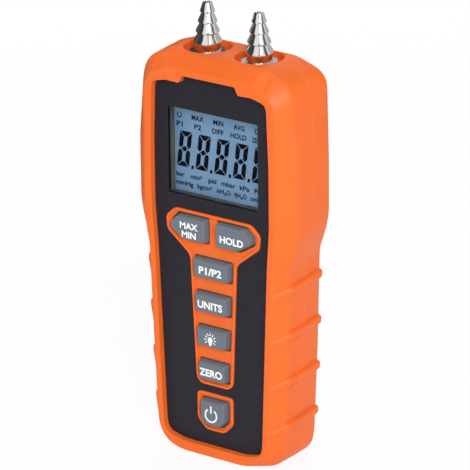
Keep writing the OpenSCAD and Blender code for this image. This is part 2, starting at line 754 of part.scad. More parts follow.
tail_room = 1;
tail_z0 = sensor_z1 + sensor_port_l + tail_room;
nut_t = 4;
nut_r = 7;
nut_z0 = block_z - nut_t - slip_gap;
tail_z1 = nut_z0 - tail_room;
tail_chamfer = 1;
tube_clear = 0.4;
tube_wall = board_y - tail_r - tube_clear;
module sensor_tube(side) {
    color([0.85, 0.85, 0.8, 0.7]) difference() {
        rod_z(side * port_x, 0, tail_r + tube_wall, sensor_z1 + slip_gap, tail_z1 - slip_gap, 48);
        rod_z(side * port_x, 0, tail_r + slip_gap, sensor_z1 - over, tail_z1 + over, 48);
    }
}
module sensor_tube_p1() { sensor_tube(-1); }
module sensor_tube_p2() { sensor_tube(1); }

// The ports

gasket_t = 0.5;
flange_z = well_z + gasket_t;
neck_l = 3.2;
barb_z0 = flange_z + flange_t + neck_l;
barb_z1 = body_h + port_tip_h;
barb_step = (barb_z1 - barb_z0) / barb_count;
step_in_share = 0.78;
tip_share = 0.54;
function barb_r(i) = mix(barb_r_low, barb_r_high, i / (barb_count - 1));
// One barb from its land up to the foot of the next one, as points of the turned profile
function barb_profile(i) = let (z = barb_z0 + i * barb_step, last = i == barb_count - 1)
    [[barb_r(i), z], [barb_r(i), z + barb_land],
        [last ? tip_share * barb_r(i) : step_in_share * barb_r(i + 1), z + barb_step]];
port_profile = concat(
    [[port_bore_r, tail_z0], [0.85 * tail_r, tail_z0], [tail_r, tail_z0 + tail_chamfer], [tail_r, tail_z1],
        [stem_r, tail_z1], [stem_r, flange_z], [flange_r, flange_z], [flange_r, flange_z + flange_t],
        [neck_r, flange_z + flange_t], [neck_r, barb_z0]],
    [for (i = [0:barb_count - 1]) each barb_profile(i)],
    [[port_bore_r, barb_z1]]);
module port_barb(side) {
    color([0.78, 0.79, 0.8]) translate([side * port_x, 0, 0])
        rotate_extrude($fn = 72) polygon(port_profile);
}
module port_barb_p1() { port_barb(-1); }
module port_barb_p2() { port_barb(1); }

module port_gaskets() {
    color([0.1, 0.1, 0.11]) both_sides() difference() {
        rod_z(port_x, 0, flange_r - seat_gap, well_z, flange_z);
        rod_z(port_x, 0, stem_r + slip_gap, well_z - over, flange_z + over);
    }
}

module port_nuts() {
    color([0.72, 0.6, 0.3]) both_sides() difference() {
        rod_z(port_x, 0, nut_r, nut_z0, nut_z0 + nut_t, 6);
        rod_z(port_x, 0, stem_r + slip_gap, nut_z0 - over, nut_z0 + nut_t + over);
    }
}

buzzer_r = 5.5;
buzzer_t = 3;
buzzer_x = -14;
buzzer_drop = 31;
buzzer_z = chip_z - buzzer_drop;
buzzer_hole_r = 0.8;
module buzzer() {
    color([0.13, 0.13, 0.14]) difference() {
        rod_y(buzzer_x, buzzer_z, buzzer_r, -board_y, -board_y + buzzer_t);
        rod_y(buzzer_x, buzzer_z, buzzer_hole_r, -board_y + buzzer_t / 3, -board_y + buzzer_t + over);
    }
}

// Cells, contacts and door

module battery_cells() {
    nub_r = 0.5 * cell_r;
    nub_l = 0.9;
    for (i = [0:cell_count - 1]) {
        x = (i - (cell_count - 1) / 2) * cell_pitch;
        up = i % 2 == 0;
        z0 = bay_z + contact_room;
        color([0.2, 0.22, 0.25]) translate([x, cell_y, up ? z0 : z0 + cell_l])
            mirror([0, 0, up ? 0 : 1]) {
                cylinder(h = cell_l - nub_l, r = cell_r, $fn = 64);
                translate([0, 0, cell_l - nub_l]) cylinder(h = nub_l, r = nub_r, $fn = 32);
            }
    }
}

contact_w = 8;
contact_slack = 0.5;
contact_spring = contact_room - contact_t - contact_slack;
module battery_contacts() {
    color([0.75, 0.74, 0.68])
        for (i = [0:cell_count - 1]) for (upper = [0, 1]) {
            x = (i - (cell_count - 1) / 2) * cell_pitch;
            z = upper == 1 ? bay_z + bay_l - slip_gap : bay_z + slip_gap;
            translate([x, 0, z]) mirror([0, 0, upper]) {
                translate([-contact_w / 2, bay_floor_y + slip_gap, 0])
                    cube([contact_w, contact_w, contact_t]);
                translate([0, cell_y, contact_t])
                    cylinder(h = contact_spring, r1 = 0.3 * contact_w, r2 = 0.15 * contact_w, $fn = 32);
            }
        }
    color([0.75, 0.74, 0.68])
        for (i = [0, cell_count - 1])
            translate([(i - (cell_count - 1) / 2) * cell_pitch - leg_w / 2, -board_y + slip_gap,
                bay_z + bay_l - slip_gap - contact_t])
                cube([leg_w, bay_floor_y + board_y + wall, contact_t]);
}

module battery_door() {
    color([0.9, 0.35, 0.09]) difference() {
        slab(door_outline(0), door_y, rear_d);
        for (z = ear_screw_z) {
            rod_y(0, z, screw_r + seat_gap, door_y - over, rear_d + over);
            rod_y(0, z, screw_head_r + seat_gap, rear_d - 0.9 * screw_head_t, rear_d + over);
        }
    }
}

module drive_cross(x, z, y_head) {
    for (turn = [0, 90])
        translate([x, y_head, z]) rotate([0, turn, 0])
            translate([-screw_head_r * 0.6, -screw_head_t * 0.5, -screw_head_r * 0.15])
                cube([screw_head_r * 1.2, screw_head_t, screw_head_r * 0.3]);
}

module battery_door_screws() {
    head_y = door_screw_y;
    color([0.7, 0.71, 0.74]) for (z = ear_screw_z) difference() {
        union() {
            rod_y(0, z, screw_head_r, head_y - 0.8 * screw_head_t, head_y);
            rod_y(0, z, screw_r - slip_gap, head_y - door_screw_l, head_y - 0.8 * screw_head_t);
        }
        drive_cross(0, z, head_y);
    }
}

case_screw_l = 10;
module case_screws() {
    color([0.7, 0.71, 0.74]) both_sides() for (p = case_screw_xz) difference() {
        union() {
            rod_y(p[0], p[1], screw_head_r, case_head_y, case_head_y + screw_head_t);
            rod_y(p[0], p[1], screw_r - slip_gap, case_head_y - case_screw_l, case_head_y);
        }
        drive_cross(p[0], p[1], case_head_y + screw_head_t);
    }
}

front_cover();
rear_cover();
parting_seal();
face_panel();
display_lens();
lcd_frame();
lcd_glass();
backlight_panel();
contact_strips();
key_max_min();
key_hold();
key_p1_p2();
key_units();
key_light();
key_zero();
key_power();
keypad_membrane();
main_board();
board_chips();
board_screws();
pressure_sensor_p1();
pressure_sensor_p2();
sensor_tube_p1();
sensor_tube_p2();
port_barb_p1();
port_barb_p2();
port_gaskets();
port_nuts();
buzzer();
battery_contacts();
battery_cells();
battery_door();
battery_door_screws();
case_screws();
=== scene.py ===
# %% [markdown]
# A handheld digital manometer stands on its foot: an orange housing of two moulded covers, a black
# face panel with a display window, seven rubber keys, and two steel hose ports on top. The inner
# pieces come from the construction model and only get a finish. The pieces that show are modelled
# again here, in the same places, with the soft edges that moulded plastic has.

# %% Start from the fixed frame
import math

import bmesh
import bpy
from mathutils import Matrix, Vector


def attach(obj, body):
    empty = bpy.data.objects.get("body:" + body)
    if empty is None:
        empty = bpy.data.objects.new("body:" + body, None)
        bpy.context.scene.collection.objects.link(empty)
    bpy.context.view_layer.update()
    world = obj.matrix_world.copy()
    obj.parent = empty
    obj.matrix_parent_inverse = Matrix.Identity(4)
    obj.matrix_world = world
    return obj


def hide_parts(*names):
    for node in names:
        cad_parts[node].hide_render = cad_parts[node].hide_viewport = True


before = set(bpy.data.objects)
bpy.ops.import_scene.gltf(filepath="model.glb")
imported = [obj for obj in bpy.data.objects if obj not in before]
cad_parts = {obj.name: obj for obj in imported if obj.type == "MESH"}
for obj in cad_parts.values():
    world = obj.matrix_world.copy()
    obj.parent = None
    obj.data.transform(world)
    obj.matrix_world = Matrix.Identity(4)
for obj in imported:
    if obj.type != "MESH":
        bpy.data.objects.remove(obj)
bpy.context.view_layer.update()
MM = 0.001

# %% [markdown]
# A few steps come back all through the script, from adding a primitive to building a node tree.
# Each is written once here.

# %% Steps that come back
def only(piece):
    """Selects one piece and makes it the active one."""
    bpy.ops.object.select_all(action="DESELECT")
    piece.select_set(True)
    bpy.context.view_layer.objects.active = piece


def added(name, primitive, **settings):
    """Adds a primitive with nothing else selected, and gives its object."""
    bpy.ops.object.select_all(action="DESELECT")
    primitive(**settings)
    bpy.context.object.name = name
    return bpy.context.object


def edit_whole(*steps):
    """Takes steps in edit mode, each on the whole mesh, and then turns its faces outwards."""
    bpy.ops.object.mode_set(mode="EDIT")
    for step, settings in steps + ((bpy.ops.mesh.normals_make_consistent, {"inside": False}),):
        bpy.ops.mesh.select_all(action="SELECT")
        step(**settings)
    bpy.ops.object.mode_set(mode="OBJECT")


def settle(piece):
    """Puts a piece's place and turn into its mesh, so that its object sits at the origin."""
    only(piece)
    bpy.ops.object.transform_apply(location=True, rotation=True, scale=True)
    return piece


def emptied_tree(owner):
    """The nodes and links of a world or a material, with nothing in them yet."""
    owner.use_nodes = True
    owner.node_tree.nodes.clear()
    return owner.node_tree.nodes, owner.node_tree.links


def new_node(nodes, kind, **values):
    """Adds a shader node and sets some of its sockets."""
    node = nodes.new("ShaderNode" + kind)
    for socket, value in values.items():
        node.inputs[socket.replace("_", " ")].default_value = value
    return node


def maths(nodes, links, operation, *sockets):
    """Works out one value from one or two sockets."""
    node = nodes.new("ShaderNodeMath")
    node.operation = operation
    for given, socket in zip(sockets, node.inputs):
        links.new(given, socket)
    return node.outputs[0]


print("steps ready")

# %% [markdown]
# The camera stands far off with a long lens, to the right of the face and a little above it, as in
# a product photograph. The long lens keeps the upright lines almost parallel.

# %% The camera
AZIMUTH = math.radians(36.68)
ELEVATION = math.radians(20.11)
ROLL = math.radians(-0.67)
LENS = 321.7
DISTANCE = 1631.0
CLIP_END = 10
TARGET = Vector((-2.17, 2.44, 87.05))
towards_camera = Vector((math.sin(AZIMUTH) * math.cos(ELEVATION),
                         -math.cos(AZIMUTH) * math.cos(ELEVATION),
                         math.sin(ELEVATION)))
level_right = Vector((math.cos(AZIMUTH), math.sin(AZIMUTH), 0))
level_up = towards_camera.cross(level_right)
right = math.cos(ROLL) * level_right + math.sin(ROLL) * level_up
up = -math.sin(ROLL) * level_right + math.cos(ROLL) * level_up
camera_data = bpy.data.cameras.new("camera")
camera_data.lens = LENS
camera = bpy.data.objects.new("camera", camera_data)
bpy.context.scene.collection.objects.link(camera)
turn = Matrix((right, up, towards_camera)).transposed().to_4x4()
camera.matrix_world = Matrix.Translation((TARGET + DISTANCE * towards_camera) * MM) @ turn
camera_data.clip_end = CLIP_END
bpy.context.scene.camera = camera
print("camera at", [round(v, 3) for v in camera.location])

# %% [markdown]
# The background is white and has to stay white without flooding the orange with light. So the world
# is full white only to the camera and to mirror rays, and much weaker where it lights the plastic.
# The floor does the same, and its other part takes the soft shadow under the foot.

# %% The world, the floor and the lamps
WORLD_LIGHT = 0.38
FLOOR_SIZE = 6.0
FLOOR_Z = -0.0001
FLOOR_SHADE = 0.9
FLOOR_GLOW = 0.9


def seen_directly(nodes, links):
    """One where a camera ray, a mirror ray or a ray through glass arrives, and nothing elsewhere."""
    rays = nodes.new("ShaderNodeLightPath").outputs
    direct = maths(nodes, links, "MAXIMUM", rays["Is Camera Ray"], rays["Is Glossy Ray"])
    return maths(nodes, links, "MAXIMUM", direct, rays["Is Transmission Ray"])


def mix_into(nodes, links, output, factor, first, second):
    """Mixes two shaders by a factor, as what the world or a material gives out."""
    mix = nodes.new("ShaderNodeMixShader")
    for given, socket in zip((factor, first.outputs[0], second.outputs[0]), mix.inputs):
        links.new(given, socket)
    links.new(mix.outputs[0], nodes.new("ShaderNodeOutput" + output).inputs[0])


world = bpy.data.worlds.new("studio")
bpy.context.scene.world = world
nodes, links = emptied_tree(world)
mix_into(nodes, links, "World", seen_directly(nodes, links),
         new_node(nodes, "Background", Strength=WORLD_LIGHT),
         new_node(nodes, "Background", Color=(1, 1, 1, 1)))

floor = added("floor", bpy.ops.mesh.primitive_plane_add, size=FLOOR_SIZE, location=(0, 0, FLOOR_Z))
floor_paint = bpy.data.materials.new("floor_white")
nodes, links = emptied_tree(floor_paint)
share = maths(nodes, links, "MULTIPLY", seen_directly(nodes, links))
share.node.inputs[1].default_value = FLOOR_GLOW
mix_into(nodes, links, "Material", share,
         new_node(nodes, "BsdfDiffuse", Color=(FLOOR_SHADE, FLOOR_SHADE, FLOOR_SHADE, 1)),
         new_node(nodes, "Emission", Strength=1))
floor.data.materials.append(floor_paint)


LAMP_AIM = Vector((0, 0, 0.09))
LAMP_DISTANCE = 2.1


def lamp(name, turn, lift, size, level):
    """A soft square lamp. Turn and lift are in degrees; a level of 1 shows a colour as written."""
    data = bpy.data.lights.new(name, "AREA")
    data.size = size
    data.energy = level * (math.pi * LAMP_DISTANCE) ** 2
    lamp_object = bpy.data.objects.new(name, data)
    bpy.context.scene.collection.objects.link(lamp_object)
    turn, lift = math.radians(turn), math.radians(lift)
    towards = Vector((math.sin(turn) * math.cos(lift), -math.cos(turn) * math.cos(lift), math.sin(lift)))
    lamp_object.location = LAMP_AIM + LAMP_DISTANCE * towards
    lamp_object.rotation_euler = (-towards).to_track_quat("-Z", "Y").to_euler()


lamp("key_lamp", 46, 26, 1.0, 0.8)
lamp("back_lamp", 215, 28, 1.2, 0.6)
lamp("left_lamp", -75, 15, 1.0, 0.22)
lamp("top_lamp", 10, 62, 1.0, 0.12)
bpy.data.objects["back_lamp"].visible_glossy = False

# %% [markdown]
# Bright steel shows only what stands round it, and on a white ground it would look like plaster. So
# dark and grey cards stand round the meter, as in a studio. Each is a bent wall that only mirror
# rays see, and it gives the hose ports their stripes.

# %% Cards for the steel to mirror
CARD_R = 0.28
CARD_H = 0.85
CARD_FOOT = 0.001
CARD_STEPS = 16
# Each card has a first and a last direction in degrees from the front, and a shade
cards = {"dark_card": (-143, -17, 0.05), "camera_card": (30, 48, 0.25), "right_card": (84, 111, 0.14),
         "back_card": (125, 217, 0.55)}


def card(name, first, last, shade):
    """A bent wall from one direction to another, with an even glow that only mirror rays see."""
    wall = added(name, bpy.ops.mesh.primitive_grid_add, x_subdivisions=CARD_STEPS,
                 y_subdivisions=1, size=2)
    for vertex in wall.data.vertices:
        turn = math.radians(first + (last - first) * (vertex.co.x + 1) / 2)
        vertex.co = (CARD_R * math.sin(turn), -CARD_R * math.cos(turn),
                     CARD_FOOT + CARD_H * (vertex.co.y + 1) / 2)
    paint = bpy.data.materials.new(name)
    nodes, links = emptied_tree(paint)
    glow = new_node(nodes, "Emission", Color=(shade, shade, shade, 1))
    links.new(glow.outputs[0], nodes.new("ShaderNodeOutputMaterial").inputs[0])
    wall.data.materials.append(paint)
    wall.visible_camera = wall.visible_diffuse = wall.visible_shadow = False
    wall.visible_transmission = wall.visible_volume_scatter = False


for card_name, (first, last, shade) in cards.items():
    card(card_name, first, last, shade)
print("cards:", sorted(cards))

# %% [markdown]
# Every finish starts from the same shader: a base colour and a roughness that drift a little across
# the surface, and a very fine bump for the grain of the mould. All patterns read Object
# coordinates, so that they stay in place when a key moves. Their sizes are given in millimetres.

# %% Finishes
NOISE_SPAN = (0.3, 0.7)
ROUGH_DRIFT = 0.08
BUMP = 0.5
METAL_GLOSS = 0.5


def linear(red, green, blue):
    """A colour given as 0 to 255 values, as the shader wants it."""
    def channel(value):
        value /= 255
        return value / 12.92 if value <= 0.04045 else ((value + 0.055) / 1.055) ** 2.4
    return (channel(red), channel(green), channel(blue), 1)


def noise(nodes, links, size_mm, detail=2.0):
    """A noise whose blotches are about size_mm across, on Object coordinates."""
    texture = new_node(nodes, "TexNoise", Scale=1 / (size_mm * MM), Detail=detail)
    place = nodes.new("ShaderNodeTexCoord")
    links.new(place.outputs["Object"], texture.inputs["Vector"])
    return texture.outputs["Fac"]


def between(nodes, links, factor, low, high):
    """The factor, stretched so that it runs between two values."""
    ramp = new_node(nodes, "MapRange", From_Min=NOISE_SPAN[0], From_Max=NOISE_SPAN[1],
                    To_Min=low, To_Max=high)
    links.new(factor, ramp.inputs["Value"])
    return ramp.outputs["Result"]


def finish(name, colour, rough=0.5, drift=0.06, blotch=9, grain=0.25, grain_depth=0.02, metal=0.0,
           gloss=0.4):
    """A finish with colour and roughness that drift, and a fine grain. Sizes are in millimetres."""
    material = bpy.data.materials.new(name)
    material.use_nodes = True
    nodes, links = material.node_tree.nodes, material.node_tree.links
    shader = nodes["Principled BSDF"]
    shader.inputs["Metallic"].default_value = metal
    shader.inputs["Specular IOR Level"].default_value = METAL_GLOSS if metal else gloss
    drifting = noise(nodes, links, blotch)
    mix = nodes.new("ShaderNodeMix")
    mix.data_type = "RGBA"
    mix.inputs["A"].default_value = [c * (1 - drift) for c in colour[:3]] + [1]
    mix.inputs["B"].default_value = [min(1, c * (1 + drift)) for c in colour[:3]] + [1]
    links.new(between(nodes, links, drifting, 0, 1), mix.inputs["Factor"])
    links.new(mix.outputs["Result"], shader.inputs["Base Color"])
    links.new(between(nodes, links, drifting, rough * (1 - ROUGH_DRIFT),
                      rough * (1 + ROUGH_DRIFT)), shader.inputs["Roughness"])
    bump = new_node(nodes, "Bump", Strength=BUMP, Distance=grain_depth * MM)
    links.new(noise(nodes, links, grain, 3), bump.inputs["Height"])
    links.new(bump.outputs["Normal"], shader.inputs["Normal"])
    return material


orange_plastic = finish("orange_plastic", linear(236, 107, 41), 0.42, 0.03, 14, 0.35, 0.012, gloss=0.22)
black_panel = finish("black_panel", linear(40, 38, 46), 0.5, 0.14, 1.2, 0.3, 0.02, gloss=0.12)
grey_key = finish("grey_key", linear(104, 113, 123), 0.55, 0.07, 0.8, 0.3, 0.02, gloss=0.3)
white_print = finish("white_print", linear(240, 243, 243), 0.6, 0.02, 2, 0.2, 0.004, gloss=0.2)
display_ink = finish("display_ink", linear(4, 6, 16), 0.7, 0.1, 2, 0.2, 0.002, gloss=0.0)
print("finishes:", [m.name for m in bpy.data.materials])

# %% [markdown]
# The housing's outline is given on two creases, where the side meets the front and the rear bevel.
# On the rear one the neck is higher and the shoulder sharper. The covers part halfway, and the flat
# border round the face is narrower by the bevel. An outline is the corners of its right half in
# millimetres, each of them rounded later by a short curve.

# %% The housing's outline
BODY_H = 163.0
FRONT_Y = -17.0
CREASE_Y = -10.4
REAR_CREASE_Y = 9.8
REAR_Y = 15.6
BEVEL_W = 6.5
REAR_BEVEL_W = 5.5
DRAFT = 0.5
FOOT = [(22, 0), (26.4, 1.2), (29.65, 5), (30.6, 10)]
GRIP_MIDDLE = (32.4, 47)
WAIST = (33.6, 84)
HEAD = (38.1, 101)
CHEEK = (38.1, 126)
SHOULDER = (35.6, 151)
REAR_SHOULDER = (37.4, 154)
TOP = (23, BODY_H)
NECK_RISE = 3
neck_shares = [(0.36, 0.25), (0.71, 0.53), (0.93, 0.79)]
shoulder_shares = [(0.08, 0.34), (0.29, 0.63)]
bevel_shares = [(1, -0.08), (0.8, -0.16), (0.74, -0.15), (0.66, -0.1), (0.7, 0), (0.68, 0),
                (0.8, 0.05), (0.96, 0.05), (1.05, 0.02), (1.05, 0), (1.06, 0), (0.69, 0.5),
                (0.83, 0.51), (0.92, 0.58), (0.92, 0.86)]
REAR_LEAST_SHARE = 0.85
MOST_OF_SIDE = 0.49


def stretch(a, b, shares):
    """The corners of a curved stretch, as shares of the way from a to b in each direction."""
    return [(a[0] + (b[0] - a[0]) * sx, a[1] + (b[1] - a[1]) * sz) for sx, sz in shares]


def side_half(rise, shoulder):
    """The right half of the outline, with the neck raised by a distance."""
    waist, head = (WAIST[0], WAIST[1] + rise), (HEAD[0], HEAD[1] + rise)
    return (FOOT + [GRIP_MIDDLE, waist] + stretch(waist, head, neck_shares)
            + [head, CHEEK, shoulder] + stretch(shoulder, TOP, shoulder_shares) + [TOP])


def bevelled(half, width, least=0.0):
    """The half outline moved in by its own share of a bevel at each corner."""
    return [(x - width * max(sx, least), z - width * sz)
            for (x, z), (sx, sz) in zip(half, bevel_shares)]


def mixed(a, b, share):
    """A point or list of numbers part of the way from a to b."""
    return tuple(p + (q - p) * share for p, q in zip(a, b))


body_half = side_half(0, SHOULDER)
rear_side_half = side_half(NECK_RISE, REAR_SHOULDER)
parting_half = [mixed(p, q, 0.5) for p, q in zip(body_half, rear_side_half)]
rear_half = [(x - DRAFT, z) for x, z in rear_side_half]
border_half = bevelled(body_half, BEVEL_W)
back_half = bevelled(rear_half, REAR_BEVEL_W, REAR_LEAST_SHARE)


def bend(start, corner, end, share):
    """A point on the short curve that leads from start to end and bends towards the corner."""
    return mixed(mixed(start, corner, share), mixed(corner, end, share), share)


def rounded(corners, reach, steps=4, is_closed=False):
    """The corners of a line, each replaced by a curve that starts and ends reach away from it."""
    line = []
    count = len(corners)
    for i, corner in enumerate(corners):
        if not is_closed and i in (0, count - 1):
            line.append(tuple(corner))
            continue
        before, after = corners[i - 1], corners[(i + 1) % count]
        reach_here = reach[i] if isinstance(reach, list) else reach
        start = mixed(corner, before, min(MOST_OF_SIDE, reach_here / math.dist(corner, before)))
        end = mixed(corner, after, min(MOST_OF_SIDE, reach_here / math.dist(corner, after)))
        line += [bend(start, corner, end, k / steps) for k in range(steps + 1)]
    return line


def mirrored(half):
    """The left half of an outline, from the top down."""
    return [(-x, z) for x, z in reversed(half)]


def rectangle(x0, z0, x1, z1):
    return [(x0, z0), (x1, z0), (x1, z1), (x0, z1)]


print("outline corners on one side:", len(body_half))

# %% [markdown]
# Four raised bands run round each side of the grip, crisp at the upper edge and softer below. They
# slide down and fade out across the front bevel. The outline's points along the grip follow the
# bands, so that every ring of the mesh has its points exactly on the bands' edges.

# %% The grip's bands
RIB_TOPS = [77.6, 58.5, 39.4, 20.3]
RIB_H = 5.0
RIB_END_H = 2.6
RIB_PROUD = 1.6
RIB_FALL = 4.0
RIB_RISE = 1.2
# Each pair is a place up the band and how proud the band stands there
rib_section = [(0, 0), (0.1, 0.12), (0.22, 0.5), (0.34, 0.85), (0.46, 0.97), (0.6, 1), (0.76, 0.98),
               (0.87, 0.84), (0.95, 0.45), (1, 0)]
GAP_SHARES = (0.33, 0.67)
CORNER_REACH = 3.0


def width_at(half, z):
    """How far the outline lies from the middle at a height on the grip."""
    for (x0, z0), (x1, z1) in zip(half, half[1:]):
        if z0 <= z <= z1:
            return x0 + (x1 - x0) * (z - z0) / (z1 - z0)
    return half[-1][0]


def grip_ring(half, shift, height, proud):
    """The closed outline, with the bands shifted, as high and as proud as asked."""
    grip = []
    last_top = None
    for top in reversed(RIB_TOPS):
        low = top + shift - height
        if last_top is not None:
            for share in GAP_SHARES:
                z = last_top + (low - last_top) * share
                grip.append((width_at(half, z), z))
        for up_share, proud_share in rib_section:
            z = low + height * up_share
            grip.append((width_at(half, z) + proud * proud_share, z))
        last_top = top + shift
    lower = rounded([(0, half[0][1])] + half[:len(FOOT)] + [grip[0]], CORNER_REACH)[1:-1]
    upper = rounded([grip[-1]] + half[len(FOOT) + 1:] + [(0, half[-1][1])], CORNER_REACH)[1:-1]
    right_side = lower + grip + upper
    return right_side + mirrored(right_side)


border_ring = grip_ring(border_half, -RIB_FALL, RIB_END_H, 0)
crease_ring = grip_ring(body_half, 0, RIB_H, RIB_PROUD)
parting_ring = grip_ring(parting_half, RIB_RISE / 2, RIB_H, RIB_PROUD)
rear_ring = grip_ring(rear_half, RIB_RISE, RIB_H, RIB_PROUD)
back_ring = grip_ring(back_half, RIB_RISE - RIB_FALL, RIB_END_H, 0)
print("points round the housing:", len(border_ring))

# %% [markdown]
# A cover's skin is a sheet rolled round the housing: a grid whose rows are laid on the rings one
# after another, with its side edges merged and its ends filled. The rows across the bevel are
# worked out from the rings, with a tight curve at the border and a wider one at the crease.

# %% Rolling a skin
def rolled(name, rings):
    """A closed solid through rings of (x, y, z) points, all with as many points."""
    around, along = len(rings[0]), len(rings) - 1
    piece = added(name, bpy.ops.mesh.primitive_grid_add, x_subdivisions=around,
                  y_subdivisions=along, size=2)
    for vertex in piece.data.vertices:
        column = round((vertex.co.x + 1) / 2 * around)
        row = round((vertex.co.y + 1) / 2 * along)
        vertex.co = Vector(rings[row][column % around]) * MM
    edit_whole((bpy.ops.mesh.remove_doubles, {"threshold": WELD * MM}),
               (bpy.ops.mesh.fill_holes, {"sides": 0}))
    return piece


def at(ring, y):
    """An outline in X and Z, put on a plane along Y."""
    return [(x, y, z) for x, z in ring]


def point_rows(a, b, shares):
    """Rings between two rings of points."""
    return [[mixed(p, q, share) for p, q in zip(a, b)] for share in shares]


def curve_rows(before, corner, after, reach, steps):
    """Rings round an edge: from reach before the corner ring to reach after it."""
    curves = [(mixed(c, p, reach / math.dist(c, p)), c, mixed(c, q, reach / math.dist(c, q)))
              for p, c, q in zip(before, corner, after)]
    return [[bend(*curve, k / steps) for curve in curves] for k in range(steps + 1)]


def inner_flat(outer, edge):
    """A ring on the flat inside the edge ring, straight on from the bevel's direction."""
    ring = []
    for (ox, oy, oz), (ex, ey, ez) in zip(outer, edge):
        inwards = Vector((ex - ox, 0, ez - oz)).normalized() * FLAT_RUN
        ring.append((ex + inwards.x, ey, ez + inwards.z))
    return ring


WELD = 0.0005
FLAT_RUN = 2.0
EDGE_REACH = 1.1
CREASE_REACH = 1.4
REAR_CREASE_REACH = 1.2
PARTING_CHAMFER = 0.2
HALF_WIDTH = 35.0
EDGE_STEPS = 4
CREASE_STEPS = 5
BEVEL_ROWS = (0.25, 0.5, 0.75)
SIDE_ROWS = (0.5, 1)


def skin_rows(face_ring, crease, parting, face_y, crease_y, crease_reach):
    """All the rows of a cover's skin, from the flat of its face to the parting plane."""
    face, edge = at(face_ring, face_y), at(crease, crease_y)
    end = at(parting, 0)
    flat = inner_flat(edge, face)
    rows = curve_rows(flat, face, edge, EDGE_REACH, EDGE_STEPS)
    crease_rows = curve_rows(face, edge, end, crease_reach, CREASE_STEPS)
    rows += point_rows(rows[-1], crease_rows[0], BEVEL_ROWS)
    rows += crease_rows
    before_end = [mixed(e, q, 1 - PARTING_CHAMFER / abs(crease_y)) for e, q in zip(edge, end)]
    rows += point_rows(rows[-1], before_end, SIDE_ROWS)
    centre = BODY_H / 2
    rows.append([(x * (1 - PARTING_CHAMFER / HALF_WIDTH), 0,
                  centre + (z - centre) * (1 - PARTING_CHAMFER / centre)) for x, y, z in end])
    return rows


front_cover = rolled("front_cover_shell",
                     skin_rows(border_ring, crease_ring, parting_ring, FRONT_Y, CREASE_Y,
                               CREASE_REACH))
rear_cover = rolled("rear_cover_shell",
                    skin_rows(back_ring, rear_ring, parting_ring, REAR_Y, REAR_CREASE_Y,
                              REAR_CREASE_REACH))
print("skins:", [(o.name, len(o.data.polygons)) for o in (front_cover, rear_cover)])

# %% [markdown]
# Solids are cut and joined by Boolean modifiers with the exact solver, applied at once. A chosen
# set of edges is then rounded by the bevel operator, because moulded plastic has no sharp edge, and
# the soft edges are what catches the light.

# %% Tools for carving and rounding
SAME_PLACE = 0.01
IS_FRONT = 0.9
IS_FLAT = 0.99
IS_WALL = 0.1
ROD_SIDES = 40
HOLE_SIDES = 24
HEAD_WELL_SIDES = 32
SMOOTH_TO = 32


def in_edit_mode(piece, select_type="EDGE"):
    """Opens a piece for editing with nothing selected, and gives its editable mesh."""
    only(piece)
    bpy.ops.object.mode_set(mode="EDIT")
    bpy.ops.mesh.select_mode(type=select_type)
    bpy.ops.mesh.select_all(action="DESELECT")
    return bmesh.from_edit_mesh(piece.data)


def combine(piece, other, operation="DIFFERENCE"):
    """Cuts another solid out of a piece, or joins it on, and removes the other one."""
    modifier = piece.modifiers.new("combine", "BOOLEAN")
    modifier.operation = operation
    modifier.solver = "EXACT"
    modifier.object = other
    only(piece)
    bpy.ops.object.modifier_apply(modifier=modifier.name)
    bpy.data.objects.remove(other)


def soften(piece, width, chosen, segments=3):
    """Rounds the edges that the test accepts. The test gets an edge's middle and two normals."""
    mesh = in_edit_mode(piece)
    count = 0
    for edge in mesh.edges:
        if len(edge.link_faces) != 2:
            continue
        middle = (edge.verts[0].co + edge.verts[1].co) / (2 * MM)
        if chosen(middle, edge.link_faces[0].normal, edge.link_faces[1].normal):
            edge.select_set(True)
            count += 1
    bmesh.update_edit_mesh(piece.data)
    if count:
        bpy.ops.mesh.bevel(offset=width * MM, segments=segments, profile=0.5, clamp_overlap=True)
    bpy.ops.object.mode_set(mode="OBJECT")
    return count


def rim_at(y, facing):
    """A test for soften: the edges between the flat at y, which faces along Y, and its walls."""
    def test(middle, a, b):
        wall, flat = sorted((facing * a.y, facing * b.y))
        return abs(middle.y - y) < SAME_PLACE and flat > IS_FLAT and wall < IS_WALL
    return test


def inset_front(piece, thickness, forward=0.0, push=0.0):
    """Insets the foremost face and moves it forward on a slope, or pushes it straight back."""
    mesh = in_edit_mode(piece, "FACE")
    min((f for f in mesh.faces if f.normal.y < -IS_FRONT),
        key=lambda f: f.calc_center_median().y).select_set(True)
    bmesh.update_edit_mesh(piece.data)
    bpy.ops.mesh.inset(thickness=thickness * MM, depth=forward * MM)
    if push:
        bpy.ops.mesh.extrude_region_move(TRANSFORM_OT_translate={"value": (0, push * MM, 0)})
    bpy.ops.object.mode_set(mode="OBJECT")


def plate(name, outline, y0, y1):
    """A solid with a flat outline in X and Z: a disc laid on the outline, then extruded along Y."""
    piece = added(name, bpy.ops.mesh.primitive_circle_add, vertices=len(outline), fill_type="NGON")
    for vertex, (x, z) in zip(piece.data.vertices, outline):
        vertex.co = (x * MM, y0 * MM, z * MM)
    edit_whole((bpy.ops.mesh.extrude_region_move,
                {"TRANSFORM_OT_translate": {"value": (0, (y1 - y0) * MM, 0)}}))
    return piece


def cylinder(name, middle, radius, depth, sides, lean=0.0):
    """A round solid along Z, or turned about X."""
    return settle(added(name, bpy.ops.mesh.primitive_cylinder_add, vertices=sides,
                        radius=radius * MM, depth=depth * MM,
                        location=[v * MM for v in middle], rotation=(lean, 0, 0)))


def rod(name, x, z, radius, y0, y1, sides=ROD_SIDES):
    """A round solid along Y."""
    return cylinder(name, (x, (y0 + y1) / 2, z), radius, abs(y1 - y0), sides, math.pi / 2)


